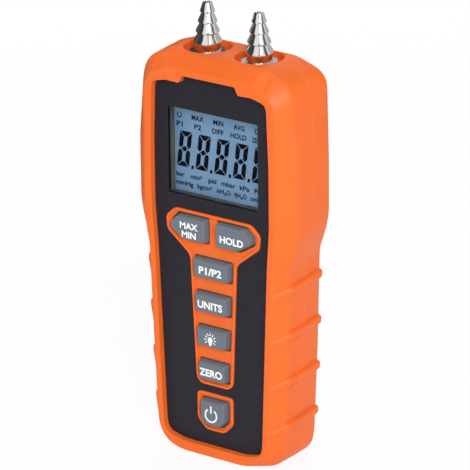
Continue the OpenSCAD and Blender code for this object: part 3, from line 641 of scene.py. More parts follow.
def drill(piece, x, z, radius, y0, y1, sides=HOLE_SIDES):
    """Cuts a round hole along Y."""
    combine(piece, rod("hole", x, z, radius, y0, y1, sides))


def block(name, middle, size, lean=0.0):
    """A box by its middle and its size, turned about X."""
    piece = added(name, bpy.ops.mesh.primitive_cube_add, size=1,
                  location=[v * MM for v in middle], rotation=(lean, 0, 0))
    piece.scale = [v * MM for v in size]
    return settle(piece)


def box(name, x, half_x, ys, zs):
    """A box round a place along X, between two places along Y and two along Z."""
    spans = ((x - half_x, x + half_x), ys, zs)
    return block(name, [(low + high) / 2 for low, high in spans],
                 [high - low for low, high in spans])


def smooth(piece, degrees=SMOOTH_TO):
    """Smooth shading up to an angle, with the wide faces kept flat."""
    only(piece)
    bpy.ops.object.shade_smooth_by_angle(angle=math.radians(degrees), keep_sharp_edges=False)
    modifier = piece.modifiers.new("flat_faces", "WEIGHTED_NORMAL")
    modifier.keep_sharp = True
    bpy.ops.object.modifier_apply(modifier=modifier.name)


def dress(piece, material, body, slot, *nodes):
    """Gives a finished piece its material and body, and hides the nodes it stands for; slot is not used.
    """
    piece.data.materials.clear()
    piece.data.materials.append(material)
    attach(piece, body)
    if nodes:
        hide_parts(*nodes)
    print(piece.name, "faces:", len(piece.data.polygons), "on", body)


print("tools ready")

# %% [markdown]
# The face is a recess in the front cover with a flat border round it, and the black panel lies in
# it. Round the keys the cover comes up through the panel, as a floor with a thin raised rim: one
# surround for six keys and one for the power key. The cover, the panel and the keys all use the
# outlines written here.

# %% The outlines of the face
PANEL_Y = -14.3
PANEL_T = 0.6
PANEL_SEAT_Y = PANEL_Y + PANEL_T
CAVITY_Y = -11.7
KEY_TOP_Y = -16.9
RIM_TOP_Y = -15.0
RIM_W = 1.2
RIM_GAP = 1.0
KEY_GAP = 0.6
KEY_SLIM = 0.25
WINDOW_X = 21.4
WINDOW_Z = (106.0, 141.1)
LENS_LAP = 1.6
panel_half = [(15, 4.4), (21.7, 6.1), (23.5, 7.9), (24.0, 11.4), (26.9, 84), (28.1, 101),
              (28.1, 126), (27.2, 148.8), (26.1, 150.8), (20.2, 152.2), (14.0, 152.0),
              (12.4, 155.1)]
panel_reach = [3, 1.2, 1.4, 1.4, 3, 3, 3, 1.2, 1.6, 0.8, 0.7, 0.5]
group_half = [(6.6, 29.8), (8.8, 32), (11.1, 82.3), (21.95, 90.9), (22.6, 96.4), (18.3, 100.4)]
group_reach = [1.4, 1.4, 2.2, 1.2, 1.6, 1.6]
hold_outline = [(2.15, 88.3), (13, 88.3), (19.7, 92.4), (19.7, 95.3), (16.15, 98.8), (2.15, 98.8)]
POWER_X = 6.4
POWER_Z = (13.0, 24.3)
POWER_CORNER = 3.0
power_outline = [(-POWER_X + POWER_CORNER, POWER_Z[0]), (POWER_X - POWER_CORNER, POWER_Z[0]),
                 (POWER_X, POWER_Z[0] + POWER_CORNER), (POWER_X, POWER_Z[1]),
                 (-POWER_X, POWER_Z[1]), (-POWER_X, POWER_Z[0] + POWER_CORNER)]
COLUMN_TOP_Z = 78.46
COLUMN_PITCH = 14.07
COLUMN_KEY_H = 8.475
COLUMN_W = (13.8, 17.6)
column_names = ["key_p1_p2", "key_units", "key_light", "key_zero"]


def column_outline(index):
    """One key of the column: four corners, a little wider at the top."""
    z = COLUMN_TOP_Z - index * COLUMN_PITCH
    low, high = z - COLUMN_KEY_H / 2, z + COLUMN_KEY_H / 2
    span = (len(column_names) - 1) * COLUMN_PITCH
    half = [(COLUMN_W[0] + (COLUMN_W[1] - COLUMN_W[0]) * (edge - COLUMN_TOP_Z + span) / span) / 2
            for edge in (low, high)]
    return [(-half[0], low), (half[0], low), (half[1], high), (-half[1], high)]


def moved(outline, by):
    """A closed outline moved inwards by a distance, corner by corner."""
    result = []
    for i, point in enumerate(outline):
        before, after = outline[i - 1], outline[(i + 1) % len(outline)]
        first = Vector((before[1] - point[1], point[0] - before[0])).normalized()
        second = Vector((point[1] - after[1], after[0] - point[0])).normalized()
        step = (first + second) * by / (1 + first.dot(second))
        result.append((point[0] + step.x, point[1] + step.y))
    return result


def whole(half, by=0.0):
    """A closed outline from its right half, moved inwards by a distance."""
    return moved(half + mirrored(half), by)

key_outlines = {"key_hold": hold_outline, "key_max_min": mirrored(hold_outline),
                "key_power": power_outline}
for index, key_name in enumerate(column_names):
    key_outlines[key_name] = column_outline(index)


def soft_outline(half, reach, by=0.0):
    """A whole closed outline from its right half, moved in and with its corners rounded."""
    return rounded(whole(half, by), reach + reach[::-1], 5, True)


def power_round(gap=0.0):
    """The outline of the power key's surround, or of an opening with a gap round it."""
    return rounded(moved(power_outline, -RIM_GAP - RIM_W - gap), POWER_RIM_REACH, 5, True)


POWER_RIM_REACH = [1.6, 1.6, 1.6, 2.0, 2.0, 1.6]
panel_outline = soft_outline(panel_half, panel_reach)
group_outer = soft_outline(group_half, group_reach)
print("keys:", sorted(key_outlines))

# %% [markdown]
# A key surround is a plate with a rim. It is one disc laid on the outline and extruded, then its
# front face is inset by the rim's width and pushed back to the level of the panel. The rim's two
# top edges are rounded afterwards.

# %% The key surrounds
RIM_SOFT = 0.42
RIM_UPRIGHT = 0.3


def surround(name, outline):
    """A plate with a raised rim, whose two top edges are rounded."""
    piece = plate(name, outline, CAVITY_Y, RIM_TOP_Y)
    inset_front(piece, RIM_W, push=PANEL_Y - RIM_TOP_Y)
    rounded_edges = soften(piece, RIM_SOFT, lambda middle, a, b: abs(
        middle.y - RIM_TOP_Y) < SAME_PLACE and min(abs(a.y), abs(b.y)) < RIM_UPRIGHT)
    print(name, "edges rounded:", rounded_edges)
    return piece


surrounds = [surround("group_surround", group_outer), surround("power_surround", power_round())]

# %% [markdown]
# Now the front cover is put together. The order matters: the hollow and the recess first, then
# what stands in them, then the holes, so that each hole goes through everything in its way. The
# ridges on the forehead come last.

# %% The front cover
WALL = 2.4
BLOCK_Z = 156.0
WELL_Z = 160.0
WELL_R = 9.4
WELL_LIP = [(0, -0.5), (0.08, -0.28), (0.25, -0.1), (1.3, 0.25)]
PORT_X = 12.2
STEM_HOLE_R = 4.2
POST_R = 3.3
SCREW_R = 1.2
case_screws = [(26.5, 150.5), (21.5, 9.0)]
board_screws = [(22.5, 86.0), (22.5, 24.0)]
BOARD_POST_R = 2.5
BOARD_Y = -5.3
CAVITY_SHARE = 0.35
SEAL_IN = 0.8
SEAL_W = 0.8
SEAL_T = 0.5
SEAL_TOP_Z = 152.0
SLIP = 0.05
CHEEK_Z = 140.0
RIDGE_XS = (19.8, 26.5)
RIDGE_W = 0.9
RIDGE_H = 0.55
RIDGE_SHARE = 0.68
RIDGE_PLACE = 0.44
RIDGE_SOFT = 0.25
RECESS_SOFT = 0.5
KEY_HOLE_REACH = 1.0
SINK = 0.5
OVER = 1
STEM_HOLE_SIDES = 62
WELL_SIDES = 72


def capped(ring, top):
    """An outline with nothing above a height."""
    return [(x, min(z, top)) for x, z in ring]


def hollow(half, width, ys, least=0.0):
    """The inside of a cover: a ring at the parting plane, one at the crease and one at the face."""
    wide = whole(half, WALL)
    narrow = bevelled(wide[:len(half)], width, least)
    rings = (whole(parting_half, WALL), wide, narrow + mirrored(narrow))
    return rolled("hollow", [at(capped(ring, BLOCK_Z), y) for ring, y in zip(rings, ys)])


def well(side):
    """The well round a port, wider at its rim so that the rim comes out soft. None of its points
    lies on the plane where the covers part, so that it cuts both covers cleanly."""
    profile = [(WELL_R, WELL_Z)] + [(WELL_R + out, BODY_H + up) for out, up in WELL_LIP]
    turns = [math.tau * (k + 0.5) / WELL_SIDES for k in range(WELL_SIDES)]
    return rolled("well", [[(side * PORT_X + r * math.cos(a), r * math.sin(a), z) for a in turns]
                           for r, z in profile])


def cut_ports(cover):
    """Cuts the wells and the holes for the ports' stems. The holes' number of sides also keeps
    their corners off the plane where the covers part."""
    for side in (-1, 1):
        combine(cover, well(side))
        combine(cover, cylinder("stem_hole", (side * PORT_X, 0, (BLOCK_Z + WELL_Z) / 2),
                                STEM_HOLE_R, WELL_Z - BLOCK_Z + 2 * OVER, STEM_HOLE_SIDES))


def cut_seal_groove(cover, y0, y1):
    """The groove for the cord seal, open at the top, cut into the plane where the covers part."""
    outer = capped(whole(parting_half, SEAL_IN - SLIP), SEAL_TOP_Z)
    inner = capped(whole(parting_half, SEAL_IN + SEAL_W + SLIP), SEAL_TOP_Z + OVER)
    ring = plate("seal_groove", outer, y0, y1)
    combine(ring, plate("inside", inner, y0 - OVER, y1 + OVER))
    combine(cover, ring)


def top_edge(half, x):
    """The height of an outline's upper edge at a distance from the middle."""
    upper = [point for point in half if point[1] > CHEEK_Z]
    for (x0, z0), (x1, z1) in zip(upper, upper[1:]):
        if x1 <= x <= x0:
            return z0 + (z1 - z0) * (x0 - x) / (x0 - x1)
    return upper[-1][1]


def forehead_ridge(x):
    """A short soft-edged ridge that runs down the slope from the top to the face."""
    z0, z1 = top_edge(border_half, abs(x)), top_edge(body_half, abs(x))
    run, rise = CREASE_Y - FRONT_Y, z1 - z0
    ridge = block("ridge", (x, FRONT_Y + run * RIDGE_PLACE, z0 + rise * RIDGE_PLACE),
                  (RIDGE_W, RIDGE_SHARE * math.hypot(run, rise), 2 * RIDGE_H),
                  math.atan2(rise, run))
    soften(ridge, RIDGE_SOFT, lambda middle, a, b: True)
    return ridge


combine(front_cover, hollow(body_half, BEVEL_W * CAVITY_SHARE, (SINK, CREASE_Y + WALL, CAVITY_Y)))
combine(front_cover, plate("recess", panel_outline, FRONT_Y - OVER, PANEL_SEAT_Y))
print("recess edges rounded:", soften(front_cover, RECESS_SOFT, rim_at(FRONT_Y, -1)))
for piece in surrounds:
    combine(front_cover, piece, "UNION")
for side in (-1, 1):
    for x, z in case_screws:
        combine(front_cover, rod("post", side * x, z, POST_R, CAVITY_Y - SINK, 0), "UNION")
        drill(front_cover, side * x, z, SCREW_R, CAVITY_Y + SINK, OVER)
    for x, z in board_screws:
        combine(front_cover, rod("post", side * x, z, BOARD_POST_R, CAVITY_Y - SINK, BOARD_Y), "UNION")
        drill(front_cover, side * x, z, SCREW_R, CAVITY_Y + SINK, 0)
for outline in key_outlines.values():
    hole = rounded(moved(outline, KEY_SLIM - KEY_GAP), KEY_HOLE_REACH, 4, True)
    combine(front_cover, plate("hole", hole, FRONT_Y - OVER, CAVITY_Y + OVER))
combine(front_cover, box("hole", 0, WINDOW_X + LENS_LAP, (FRONT_Y - OVER, CAVITY_Y + OVER),
                         (WINDOW_Z[0] - LENS_LAP, WINDOW_Z[1] + LENS_LAP)))
cut_ports(front_cover)
cut_seal_groove(front_cover, -SEAL_T - SLIP, OVER)
for side in (-1, 1):
    for x in RIDGE_XS:
        combine(front_cover, forehead_ridge(side * x), "UNION")
smooth(front_cover)
dress(front_cover, orange_plastic, "housing", "cover_orange", "front_cover")

# %% [markdown]
# The rear cover is hollowed and cut in the same way. The battery compartment is a box of walls,
# open to the back, with a step round it that the door lies on. The door's screws go into bosses
# above and below it, and four deep wells hold the screws that join the covers.

# %% The rear cover
BACK_WALL = 2.2
REAR_CAVITY_SHARE = 0.75
DOOR_Y = 13.6
DOOR_GAP = 0.3
SEAT_GAP = 0.15
CELL_PITCH = 10.9
BAY_X = 16.65
BAY_Z = (17.0, 70.9)
BAY_FLOOR_Y = 3.0
BAY_WALL = 2.0
BAY_FLOOR_T = 1.5
BACK_SOFT = 0.3
DOOR_REACH = 1.2
DOOR_HALF = (19.15, 14.8, 73.1)
EAR = (6.0, 7.4)
BOSS_R = 6.5
BOSS_Y = 6.5
DOOR_HOLE_Y = 8.1
LEG_W = 3.0
LEG_ROOM = 0.4
CONTACT_T = 0.4
SCREW_HEAD_R = 2.3
HEAD_WELL_Y = 3.0
INSIDE_Y = REAR_Y - WALL / 2
door_screws = [11.1, 76.8]


def door_outline(gap=0.0):
    """The door: a tall plate with a short ear at each end for its screw."""
    w, low, high = DOOR_HALF
    ear_w, ear_h = EAR
    right_side = [(ear_w + gap, low - ear_h - gap), (ear_w + gap, low - gap), (w + gap, low - gap),
                  (w + gap, high + gap), (ear_w + gap, high + gap), (ear_w + gap, high + ear_h + gap)]
    return rounded(right_side + mirrored(right_side), DOOR_REACH, 4, True)


combine(rear_cover, hollow(rear_half, REAR_BEVEL_W * REAR_CAVITY_SHARE,
                           (-SINK, REAR_CREASE_Y - WALL / 2, REAR_Y - BACK_WALL),
                           REAR_LEAST_SHARE))
bay_low, bay_high = BAY_Z
combine(rear_cover, box("bay_walls", 0, BAY_X + BAY_WALL,
                        (BAY_FLOOR_Y - BAY_FLOOR_T, REAR_Y - WALL),
                        (bay_low - BAY_WALL, bay_high + BAY_WALL)), "UNION")
combine(rear_cover, box("door_seat", 0, DOOR_HALF[0] + BAY_WALL, (DOOR_Y - BAY_WALL, INSIDE_Y),
                        (bay_low - 2 * BAY_WALL, bay_high + 2 * BAY_WALL)), "UNION")
for z in door_screws:
    combine(rear_cover, rod("boss", 0, z, BOSS_R, BOSS_Y, INSIDE_Y), "UNION")
for side in (-1, 1):
    for x, z in case_screws:
        combine(rear_cover, rod("post", side * x, z, POST_R, 0, INSIDE_Y), "UNION")
combine(rear_cover, box("bay", 0, BAY_X, (BAY_FLOOR_Y, REAR_Y + OVER), BAY_Z))
combine(rear_cover, plate("door_recess", door_outline(DOOR_GAP), DOOR_Y, REAR_Y + OVER))
for z in door_screws:
    drill(rear_cover, 0, z, SCREW_R, DOOR_HOLE_Y, REAR_Y)
for side in (-1, 1):
    combine(rear_cover, box("leg_slot", side * CELL_PITCH, LEG_W / 2 + LEG_ROOM,
                            (0, BAY_FLOOR_Y + OVER),
                            (bay_high - CONTACT_T - LEG_ROOM, bay_high + LEG_ROOM)))
    for x, z in case_screws:
        drill(rear_cover, side * x, z, SCREW_R + SEAT_GAP, -OVER, REAR_Y)
        drill(rear_cover, side * x, z, SCREW_HEAD_R + SEAT_GAP, HEAD_WELL_Y, REAR_Y + OVER,
              HEAD_WELL_SIDES)
print("back edges rounded:", soften(rear_cover, BACK_SOFT, rim_at(REAR_Y, 1), 2))
cut_ports(rear_cover)
cut_seal_groove(rear_cover, -OVER, SEAL_T + SLIP)
smooth(rear_cover)
dress(rear_cover, orange_plastic, "housing", "cover_orange", "rear_cover")

# %% [markdown]
# The battery door is a plate that fills its recess but for a thin gap. Each ear has a hole and a
# shallow well for the head of its screw, and the edges that show from behind are rounded.

# %% The battery door
DOOR_WELL_Y = 14.34
door = plate("door_plate", door_outline(), DOOR_Y, REAR_Y)
for z in door_screws:
    drill(door, 0, z, SCREW_R + SEAT_GAP, DOOR_Y - OVER, REAR_Y)
    drill(door, 0, z, SCREW_HEAD_R + SEAT_GAP, DOOR_WELL_Y, REAR_Y + OVER, HEAD_WELL_SIDES)
print("door edges rounded:", soften(door, BACK_SOFT, rim_at(REAR_Y, 1), 2))
smooth(door)
dress(door, orange_plastic, "battery_door", "cover_orange", "battery_door")

# %% [markdown]
# The face panel is a thin black plate with openings for the display and the two key surrounds.
# Its outer edge stays a hair's breadth inside the recess, which shows as a dark line.

# %% The face panel
WINDOW_REACH = 0.6
PANEL_SOFT = 0.12
panel = plate("face_plate", soft_outline(panel_half, panel_reach, SEAT_GAP), PANEL_Y, PANEL_SEAT_Y)
window_outline = rounded(rectangle(-WINDOW_X, WINDOW_Z[0], WINDOW_X, WINDOW_Z[1]), WINDOW_REACH,
                         4, True)
for outline in (window_outline, soft_outline(group_half, group_reach, -SEAT_GAP),
                power_round(SEAT_GAP)):
    combine(panel, plate("opening", outline, PANEL_Y - OVER, PANEL_SEAT_Y + OVER))
soften(panel, PANEL_SOFT, rim_at(PANEL_Y, -1), 2)
smooth(panel)
dress(panel, black_panel, "housing", "panel_black", "face_panel")

# %% [markdown]
# A key is one moulding: a wide flange that keeps it inside the cover, a cap with sloping sides, and
# a block behind that presses on the rubber dome. An inset with a depth makes all the sloping sides
# in one step. The upright corners are rounded first and the rim of the top last, so that the two
# roundings meet without a fold.

# %% The keys
FLANGE_BACK_Y = -10.2
FLANGE_Y = -11.4
CAP_BACK_Y = -10.5
FLANGE_OUT = 1.0
KEY_DRAFT = 0.5
PLUNGER_Y = -7.9
PLUNGER_SHARE = 0.225
KEY_CORNER = 0.8
KEY_EDGE = 0.45
FLANGE_REACH = 1.2
CAP_LEVELS = (KEY_TOP_Y, PANEL_Y, CAP_BACK_Y)


def key(name, outline):
    """One key: a flange, a cap that slopes in from the panel to its top, and a plunger."""
    piece = plate(name + "_cap", rounded(moved(outline, -FLANGE_OUT), FLANGE_REACH, 4, True),
                  FLANGE_BACK_Y, FLANGE_Y)
    cap = plate("cap", moved(outline, KEY_SLIM), CAP_BACK_Y, PANEL_Y)
    inset_front(cap, KEY_DRAFT, PANEL_Y - KEY_TOP_Y)
    soften(cap, KEY_CORNER, lambda middle, a, b:
           min(abs(middle.y - level) for level in CAP_LEVELS) > 10 * SAME_PLACE, 4)
    soften(cap, KEY_EDGE, lambda middle, a, b:
           abs(middle.y - KEY_TOP_Y) < SAME_PLACE and max(a.y, b.y) > -IS_FRONT)
    combine(piece, cap, "UNION")
    (x, half_x), (z, half_z) = [((min(v) + max(v)) / 2, PLUNGER_SHARE * (max(v) - min(v)))
                                for v in zip(*outline)]
    combine(piece, box("plunger", x, half_x, (CAP_BACK_Y, PLUNGER_Y), (z - half_z, z + half_z)),
            "UNION")
    smooth(piece)
    dress(piece, grey_key, name, "key_grey", name)


for key_name, outline in key_outlines.items():
    key(key_name, outline)

# %% [markdown]
# The words on the keys and on the display are printed. Each starts as a text object in Blender's
# own typeface, a little bolder and with some thickness. It is made a mesh, scaled to the size of
# the print, stood upright and sunk half into the surface, so that only a film of ink stands proud.

# %% Printed words
INK = 0.025
KEY_WEIGHT = 0.033
LETTER_STEPS = 5
LETTER_WELD = 1e-5


def word(text, x0, x1, z, height, y, weight):
    """A word between two places along X, with the foot of its letters at z, on a plane along Y."""
    letters = added("word", bpy.ops.object.text_add)
    letters.data.body = text
    letters.data.offset = weight
    letters.data.extrude = 1
    letters.data.resolution_u = LETTER_STEPS
    bpy.ops.object.convert(target="MESH")
    letters = bpy.context.object
    edit_whole((bpy.ops.mesh.remove_doubles, {"threshold": LETTER_WELD}))
    across = [v.co.x for v in letters.data.vertices]
    wide = (x1 - x0) / (max(across) - min(across))
    tall = height / max(v.co.y for v in letters.data.vertices)
    letters.rotation_euler = (math.pi / 2, 0, 0)
    letters.scale = (wide * MM, tall * MM, INK * MM)
    letters.location = ((x0 - wide * min(across)) * MM, y * MM, z * MM)
    return settle(letters)


def print_on(name, parts, ink, body, slot):
    """Joins words or signs into one piece of print on a body."""
    only(parts[0])
    for part in parts:
        part.select_set(True)
    if len(parts) > 1:
        bpy.ops.object.join()
    parts[0].name = name
    dress(parts[0], ink, body, slot)


# Each key's words: the word, its two ends along X, and the foot and the height of its letters
key_words = {"key_max_min": [("MAX", -14.3, -5.7, 93.55, 2.55), ("MIN", -13.4, -6.6, 89.9, 2.55)],
             "key_hold": [("HOLD", 4.85, 16.0, 91.3, 2.8)],
             "key_p1_p2": [("P1/P2", -5.45, 5.45, 76.6, 2.95)],
             "key_units": [("UNITS", -6.2, 5.6, 62.5, 2.95)],
             "key_zero": [("ZERO", -5.85, 5.15, 34.4, 2.95)]}
for key_name, words in key_words.items():
    parts = [word(text, x0, x1, z, height, KEY_TOP_Y, KEY_WEIGHT)
             for text, x0, x1, z, height in words]
    print_on(key_name + "_legend", parts, white_print, key_name, "key_grey")

# %% [markdown]
# The light key has a glowing bulb on it and the power key the usual ring with a stroke. Both are
# flat plates: a bulb is a part of a circle that runs down to a neck, a ray is a thin bar turned
# about the bulb's middle, and the ring is an open band.

# %% Printed signs
BULB = (-0.35, 49.8)
BULB_R = 1.15
BULB_NECK = (0.5, -2.35)
RAY = (1.75, 2.85, 0.42)
RAY_STEP = 30
LAST_RAY = 4 * RAY_STEP
BULB_TURN = 125
BULB_STEPS = 20
POWER_SIGN = (-0.5, 18.1)
RING_R = (2.35, 3.05)
RING_GAP = 34
RING_STEPS = 48
STROKE = (0.36, 0.9, 3.95)


def turned(point, degrees, centre):
    """A flat point turned about a centre, clockwise from upright."""
    a = math.radians(degrees)
    x, z = point
    return (centre[0] + x * math.cos(a) + z * math.sin(a), centre[1] - x * math.sin(a) + z * math.cos(a))


def arc(centre, radius, first, last, steps):
    """Points on a circle, with directions in degrees clockwise from upright."""
    return [turned((0, radius), first + (last - first) * k / steps, centre) for k in range(steps + 1)]


def band(centre, radii, gap, steps):
    """An open ring between two radii, with its gap, half as wide as said, at the top."""
    inner, outer = radii
    return (arc(centre, outer, gap, 360 - gap, steps) + arc(centre, inner, 360 - gap, gap, steps))


def ink_plate(outline, y):
    return plate("ink", outline, y - INK, y + INK)


neck_x, neck_z = BULB_NECK
bulb = (arc(BULB, BULB_R, -BULB_TURN, BULB_TURN, BULB_STEPS)
        + [(BULB[0] + neck_x, BULB[1] + neck_z), (BULB[0] - neck_x, BULB[1] + neck_z)])
ray_start, ray_end, ray_w = RAY
rays = [[turned(p, a, BULB) for p in rectangle(-ray_w / 2, ray_start, ray_w / 2, ray_end)]
        for a in range(-LAST_RAY, LAST_RAY + 1, RAY_STEP)]
stroke_half, stroke_low, stroke_high = STROKE
stroke = [(POWER_SIGN[0] + x, POWER_SIGN[1] + z)
          for x, z in rectangle(-stroke_half, stroke_low, stroke_half, stroke_high)]
for key_name, outlines in (("key_light", [bulb] + rays),
                           ("key_power", [band(POWER_SIGN, RING_R, RING_GAP, RING_STEPS), stroke])):
    print_on(key_name + "_legend", [ink_plate(outline, KEY_TOP_Y) for outline in outlines],
             white_print, key_name, "key_grey")

# %% [markdown]
# The display shows all its segments at once, as it does when it is switched on. A digit is seven
# plates that lean to the right, with mitred ends and thin gaps. Small words for what is measured
# and in which unit stand above and below. All of it is one piece on the glass.

# %% The display
GLASS_Y = -9.5
DIGIT_X = -20.7
DIGIT_PITCH = 8.94
DIGITS = 5
DIGIT_Z = 115.8
DIGIT_H = 14.5
DIGIT_W = 5.8
DIGIT_LEAN = 2.0
SEGMENT_W = 2.05
SEGMENT_H = 2.1
SEGMENT_GAP = 0.2
POINT = (7.0, -0.4, 1.15, 1.5)
SMALL_H = 2.0
LOW_H = 1.85
WORD_WEIGHT = 0.028
TIMER_SIGN = (-19.0, 136.6)
LAMP_SIGN = (17.9, 136.6)
SIGN_R = (0.8, 1.2)
TIMER_GAP = 18
LAMP_GAP = 0.5
SIGN_STEPS = 24
g, t, s = SEGMENT_GAP, SEGMENT_W, SEGMENT_H
middle_z = DIGIT_H / 2
top_bar = [(g, DIGIT_H), (g + s, DIGIT_H - s), (DIGIT_W - g - s, DIGIT_H - s), (DIGIT_W - g, DIGIT_H)]
upper_left = [(0, DIGIT_H - g), (0, middle_z + g + t / 2), (t / 2, middle_z + g),
              (t, middle_z + g + t / 2), (t, DIGIT_H - g - t)]
low_x, high_x = t / 2 + 2 * g, DIGIT_W - t / 2 - 2 * g
middle_bar = [(low_x, middle_z), (low_x + s / 2, middle_z - s / 2),
              (high_x - s / 2, middle_z - s / 2), (high_x, middle_z),
              (high_x - s / 2, middle_z + s / 2), (low_x + s / 2, middle_z + s / 2)]


def flipped(outline, sideways, upside_down):
    """A segment's outline, mirrored within the digit."""
    return [(DIGIT_W - x if sideways else x, DIGIT_H - z if upside_down else z) for x, z in outline]


segments = [top_bar, flipped(top_bar, False, True), middle_bar]
segments += [flipped(upper_left, sideways, down) for sideways in (False, True) for down in (False, True)]


def on_glass(outline, x):
    """A plate of ink on the glass, leaning as the digits do."""
    leaning = [(x + px + DIGIT_LEAN * pz / DIGIT_H, DIGIT_Z + pz) for px, pz in outline]
    return ink_plate(leaning, GLASS_Y)


point_x, point_z, point_w, point_h = POINT
decimal_point = rectangle(point_x, point_z, point_x + point_w, point_z + point_h)
shown = []
for index in range(DIGITS):
    x = DIGIT_X + index * DIGIT_PITCH
    shown += [on_glass(outline, x) for outline in segments]
    if index < DIGITS - 1:
        shown.append(on_glass(decimal_point, x))
# Rows of small words: the foot of the letters, their height, and each word with its ends along X
display_rows = [
    (135.6, SMALL_H, [("MAX", -13.2, -7.4), ("MIN", -2.85, 1.96), ("AVG", 6.8, 12.0)]),
    (132.0, SMALL_H, [("P1", -20.45, -17.5), ("P2", -12.0, -8.6), ("DIFF", -3.4, 2.0),
                      ("HOLD", 5.3, 12.9), ("ZERO", 15.4, 21.2)]),
    (111.6, LOW_H, [("bar", -21.0, -17.0), ("ozin²", -14.2, -8.5), ("psi", -5.5, -1.7),
                    ("mbar", 0.7, 7.3), ("kPa", 9.4, 14.0), ("Pa", 16.4, 19.2)]),
    (108.2, LOW_H, [("mmHg", -21.1, -12.8), ("kgcm²", -10.9, -3.8), ("inH₂O", -1.6, 5.1),
                    ("ftH₂O", 6.8, 12.7), ("cmH₂O", 14.4, 22.0)]),
]
for z, height, words in display_rows:
    shown += [word(text, x0, x1, z, height, GLASS_Y, WORD_WEIGHT) for text, x0, x1 in words]
for centre, gap in ((TIMER_SIGN, TIMER_GAP), (LAMP_SIGN, LAMP_GAP)):
    shown.append(ink_plate(band(centre, SIGN_R, gap, SIGN_STEPS), GLASS_Y))
print_on("display_marks", shown, display_ink, "housing", "frame_black")

# %% [markdown]
# A hose port is a turned piece with a hole right through: flange, smooth neck, and four barbs that
# get narrower towards the tip. Its section is laid on a ring of edges and spun round its own axis.
# The barbs' edges have a tiny chamfer, because a bare sharp edge on steel catches no light.

# %% The hose ports
FLANGE_Z = (160.5, 161.5)
FLANGE_R = 7.3
NECK_R = 5.0
BARB_Z0 = 164.7
TIP_Z = 180.6
BARB_R = [5.45, 4.583, 3.717, 2.85]
BARB_LAND = 0.7
STEP_IN = 0.78
TIP_R = 1.54
PORT_BORE_R = 1.1
STEM_R = 4.0
TAIL_R = 2.4
TAIL_Z = (143.0, 150.95)
BREAK = 0.12
TAIL_LEAD = (0.4, 1)
BORE_LEAD = (0.25, 0.9)
TIP_LIP = (0.35, 0.3)
port_section = [(PORT_BORE_R, TAIL_Z[0]), (TAIL_R - TAIL_LEAD[0], TAIL_Z[0]),
                (TAIL_R, TAIL_Z[0] + TAIL_LEAD[1]),
                (TAIL_R, TAIL_Z[1]), (STEM_R, TAIL_Z[1]), (STEM_R, FLANGE_Z[0]),
                (FLANGE_R - BREAK, FLANGE_Z[0]), (FLANGE_R, FLANGE_Z[0] + BREAK),
                (FLANGE_R, FLANGE_Z[1] - 2 * BREAK), (FLANGE_R - 2 * BREAK, FLANGE_Z[1]),
                (NECK_R + BREAK, FLANGE_Z[1]), (NECK_R, FLANGE_Z[1] + BREAK), (NECK_R, BARB_Z0)]
barb_step = (TIP_Z - BARB_Z0) / len(BARB_R)
for index, radius in enumerate(BARB_R):
    z = BARB_Z0 + index * barb_step
    last = index == len(BARB_R) - 1
    foot_r = TIP_R if last else STEP_IN * BARB_R[index + 1]
    lip_r, lip_z = TIP_LIP if last else (0, 0)
    port_section += [(radius - BREAK, z), (radius, z + BREAK), (radius, z + BARB_LAND - BREAK),
                     (radius - 0.6 * BREAK, z + BARB_LAND + BREAK),
                     (foot_r + lip_r, z + barb_step - lip_z)]
port_section += [(TIP_R, TIP_Z), (PORT_BORE_R + BORE_LEAD[0], TIP_Z),
                 (PORT_BORE_R, TIP_Z - BORE_LEAD[1])]
SPIN_STEPS = 96
SPIN_WELD = 0.002
PORT_SMOOTH_TO = 25


def spun(name, section, x):
    """A turned piece: a ring of edges laid on the section, spun round an upright axis."""
    piece = added(name, bpy.ops.mesh.primitive_circle_add, vertices=len(section),
                  fill_type="NOTHING")
    for vertex, (radius, z) in zip(piece.data.vertices, section):
        vertex.co = ((x + radius) * MM, 0, z * MM)
    edit_whole((bpy.ops.mesh.spin, {"steps": SPIN_STEPS, "angle": math.tau,
                                    "center": (x * MM, 0, 0), "axis": (0, 0, 1)}),
               (bpy.ops.mesh.remove_doubles, {"threshold": SPIN_WELD * MM}))
    return piece


bright_steel = finish("bright_steel", (0.72, 0.72, 0.71, 1), 0.12, 0.04, 3, 0.12, 0.003, 1.0)
for side, node in ((-1, "port_barb_p1"), (1, "port_barb_p2")):
    port = spun(node.replace("barb", "turned"), port_section, side * PORT_X)
    smooth(port, PORT_SMOOTH_TO)
    dress(port, bright_steel, "housing", "port_plated", node)

# %% [markdown]
# What is left of the construction model is the inside: the display, the board and what it carries,
# the cells and the screws. These nodes keep their shapes and only get a finish.

# %% Finishes of the inner pieces
lens_clear = bpy.data.materials.new("window_clear")
lens_clear.use_nodes = True
glass_shader = lens_clear.node_tree.nodes["Principled BSDF"]
glass_shader.inputs["Base Color"].default_value = (1, 1, 1, 1)
glass_shader.inputs["Roughness"].default_value = 0.03
glass_shader.inputs["IOR"].default_value = 1.15
glass_shader.inputs["Transmission Weight"].default_value = 1
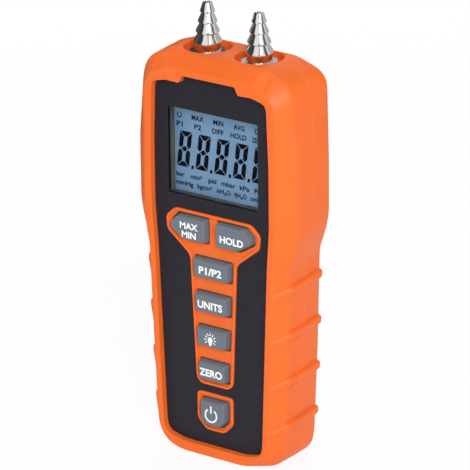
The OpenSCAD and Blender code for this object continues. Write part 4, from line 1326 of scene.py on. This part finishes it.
# Each row has the nodes, the finish's name and colour, and then what finish takes
inner_finishes = [
    (["lcd_frame"], "frame_dark", linear(82, 82, 79), 0.5, 0.06, 3, 0.3, 0.01),
    (["lcd_glass"], "display_blue", linear(101, 135, 167), 0.35, 0.03, 12, 0.3, 0.001),
    (["backlight_panel"], "guide_white", linear(236, 240, 244), 0.4, 0.02, 8),
    (["contact_strips"], "strip_pink", linear(228, 150, 165), 0.6, 0.08, 0.6),
    (["keypad_membrane"], "rubber_pale", linear(190, 192, 188), 0.7, 0.05, 4),
    (["main_board"], "board_lacquer", linear(24, 92, 50), 0.35, 0.12, 1.5, 0.8, 0.02),
    (["board_chips"], "chip_resin", linear(24, 24, 26), 0.55, 0.1, 2),
    (["board_screws", "battery_door_screws", "case_screws"],
     "screw_zinc", (0.62, 0.63, 0.66, 1), 0.3, 0.06, 1.5, 0.2, 0.004, 1.0),
    (["pressure_sensor_p1", "pressure_sensor_p2"],
     "sensor_resin", linear(214, 215, 217), 0.5, 0.04, 3),
    (["sensor_tube_p1", "sensor_tube_p2"], "tube_milky", linear(222, 221, 210), 0.45, 0.04, 5),
    (["port_gaskets", "parting_seal"], "gasket_black", linear(26, 26, 28), 0.7, 0.1, 2),
    (["port_nuts"], "nut_yellow", (0.72, 0.52, 0.22, 1), 0.25, 0.06, 2, 0.2, 0.004, 1.0),
    (["buzzer"], "buzzer_black", linear(30, 30, 32), 0.5, 0.08, 3),
    (["battery_contacts"], "nickel", (0.68, 0.67, 0.62, 1), 0.28, 0.05, 2, 0.2, 0.004, 1.0),
    (["battery_cells"], "cell_sleeve", linear(48, 54, 62), 0.3, 0.05, 8),
]
node_finishes = {"display_lens": lens_clear}
for node_names, *settings in inner_finishes:
    node_finishes.update(dict.fromkeys(node_names, finish(*settings)))
for node, material in node_finishes.items():
    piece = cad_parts[node]
    piece.data.materials.clear()
    piece.data.materials.append(material)
print("nodes with a new finish:", len(node_finishes))

# %% [markdown]
# At the end the scene is set to show colours as they are written.

# %% The end
bpy.context.scene.view_settings.view_transform = "Standard"
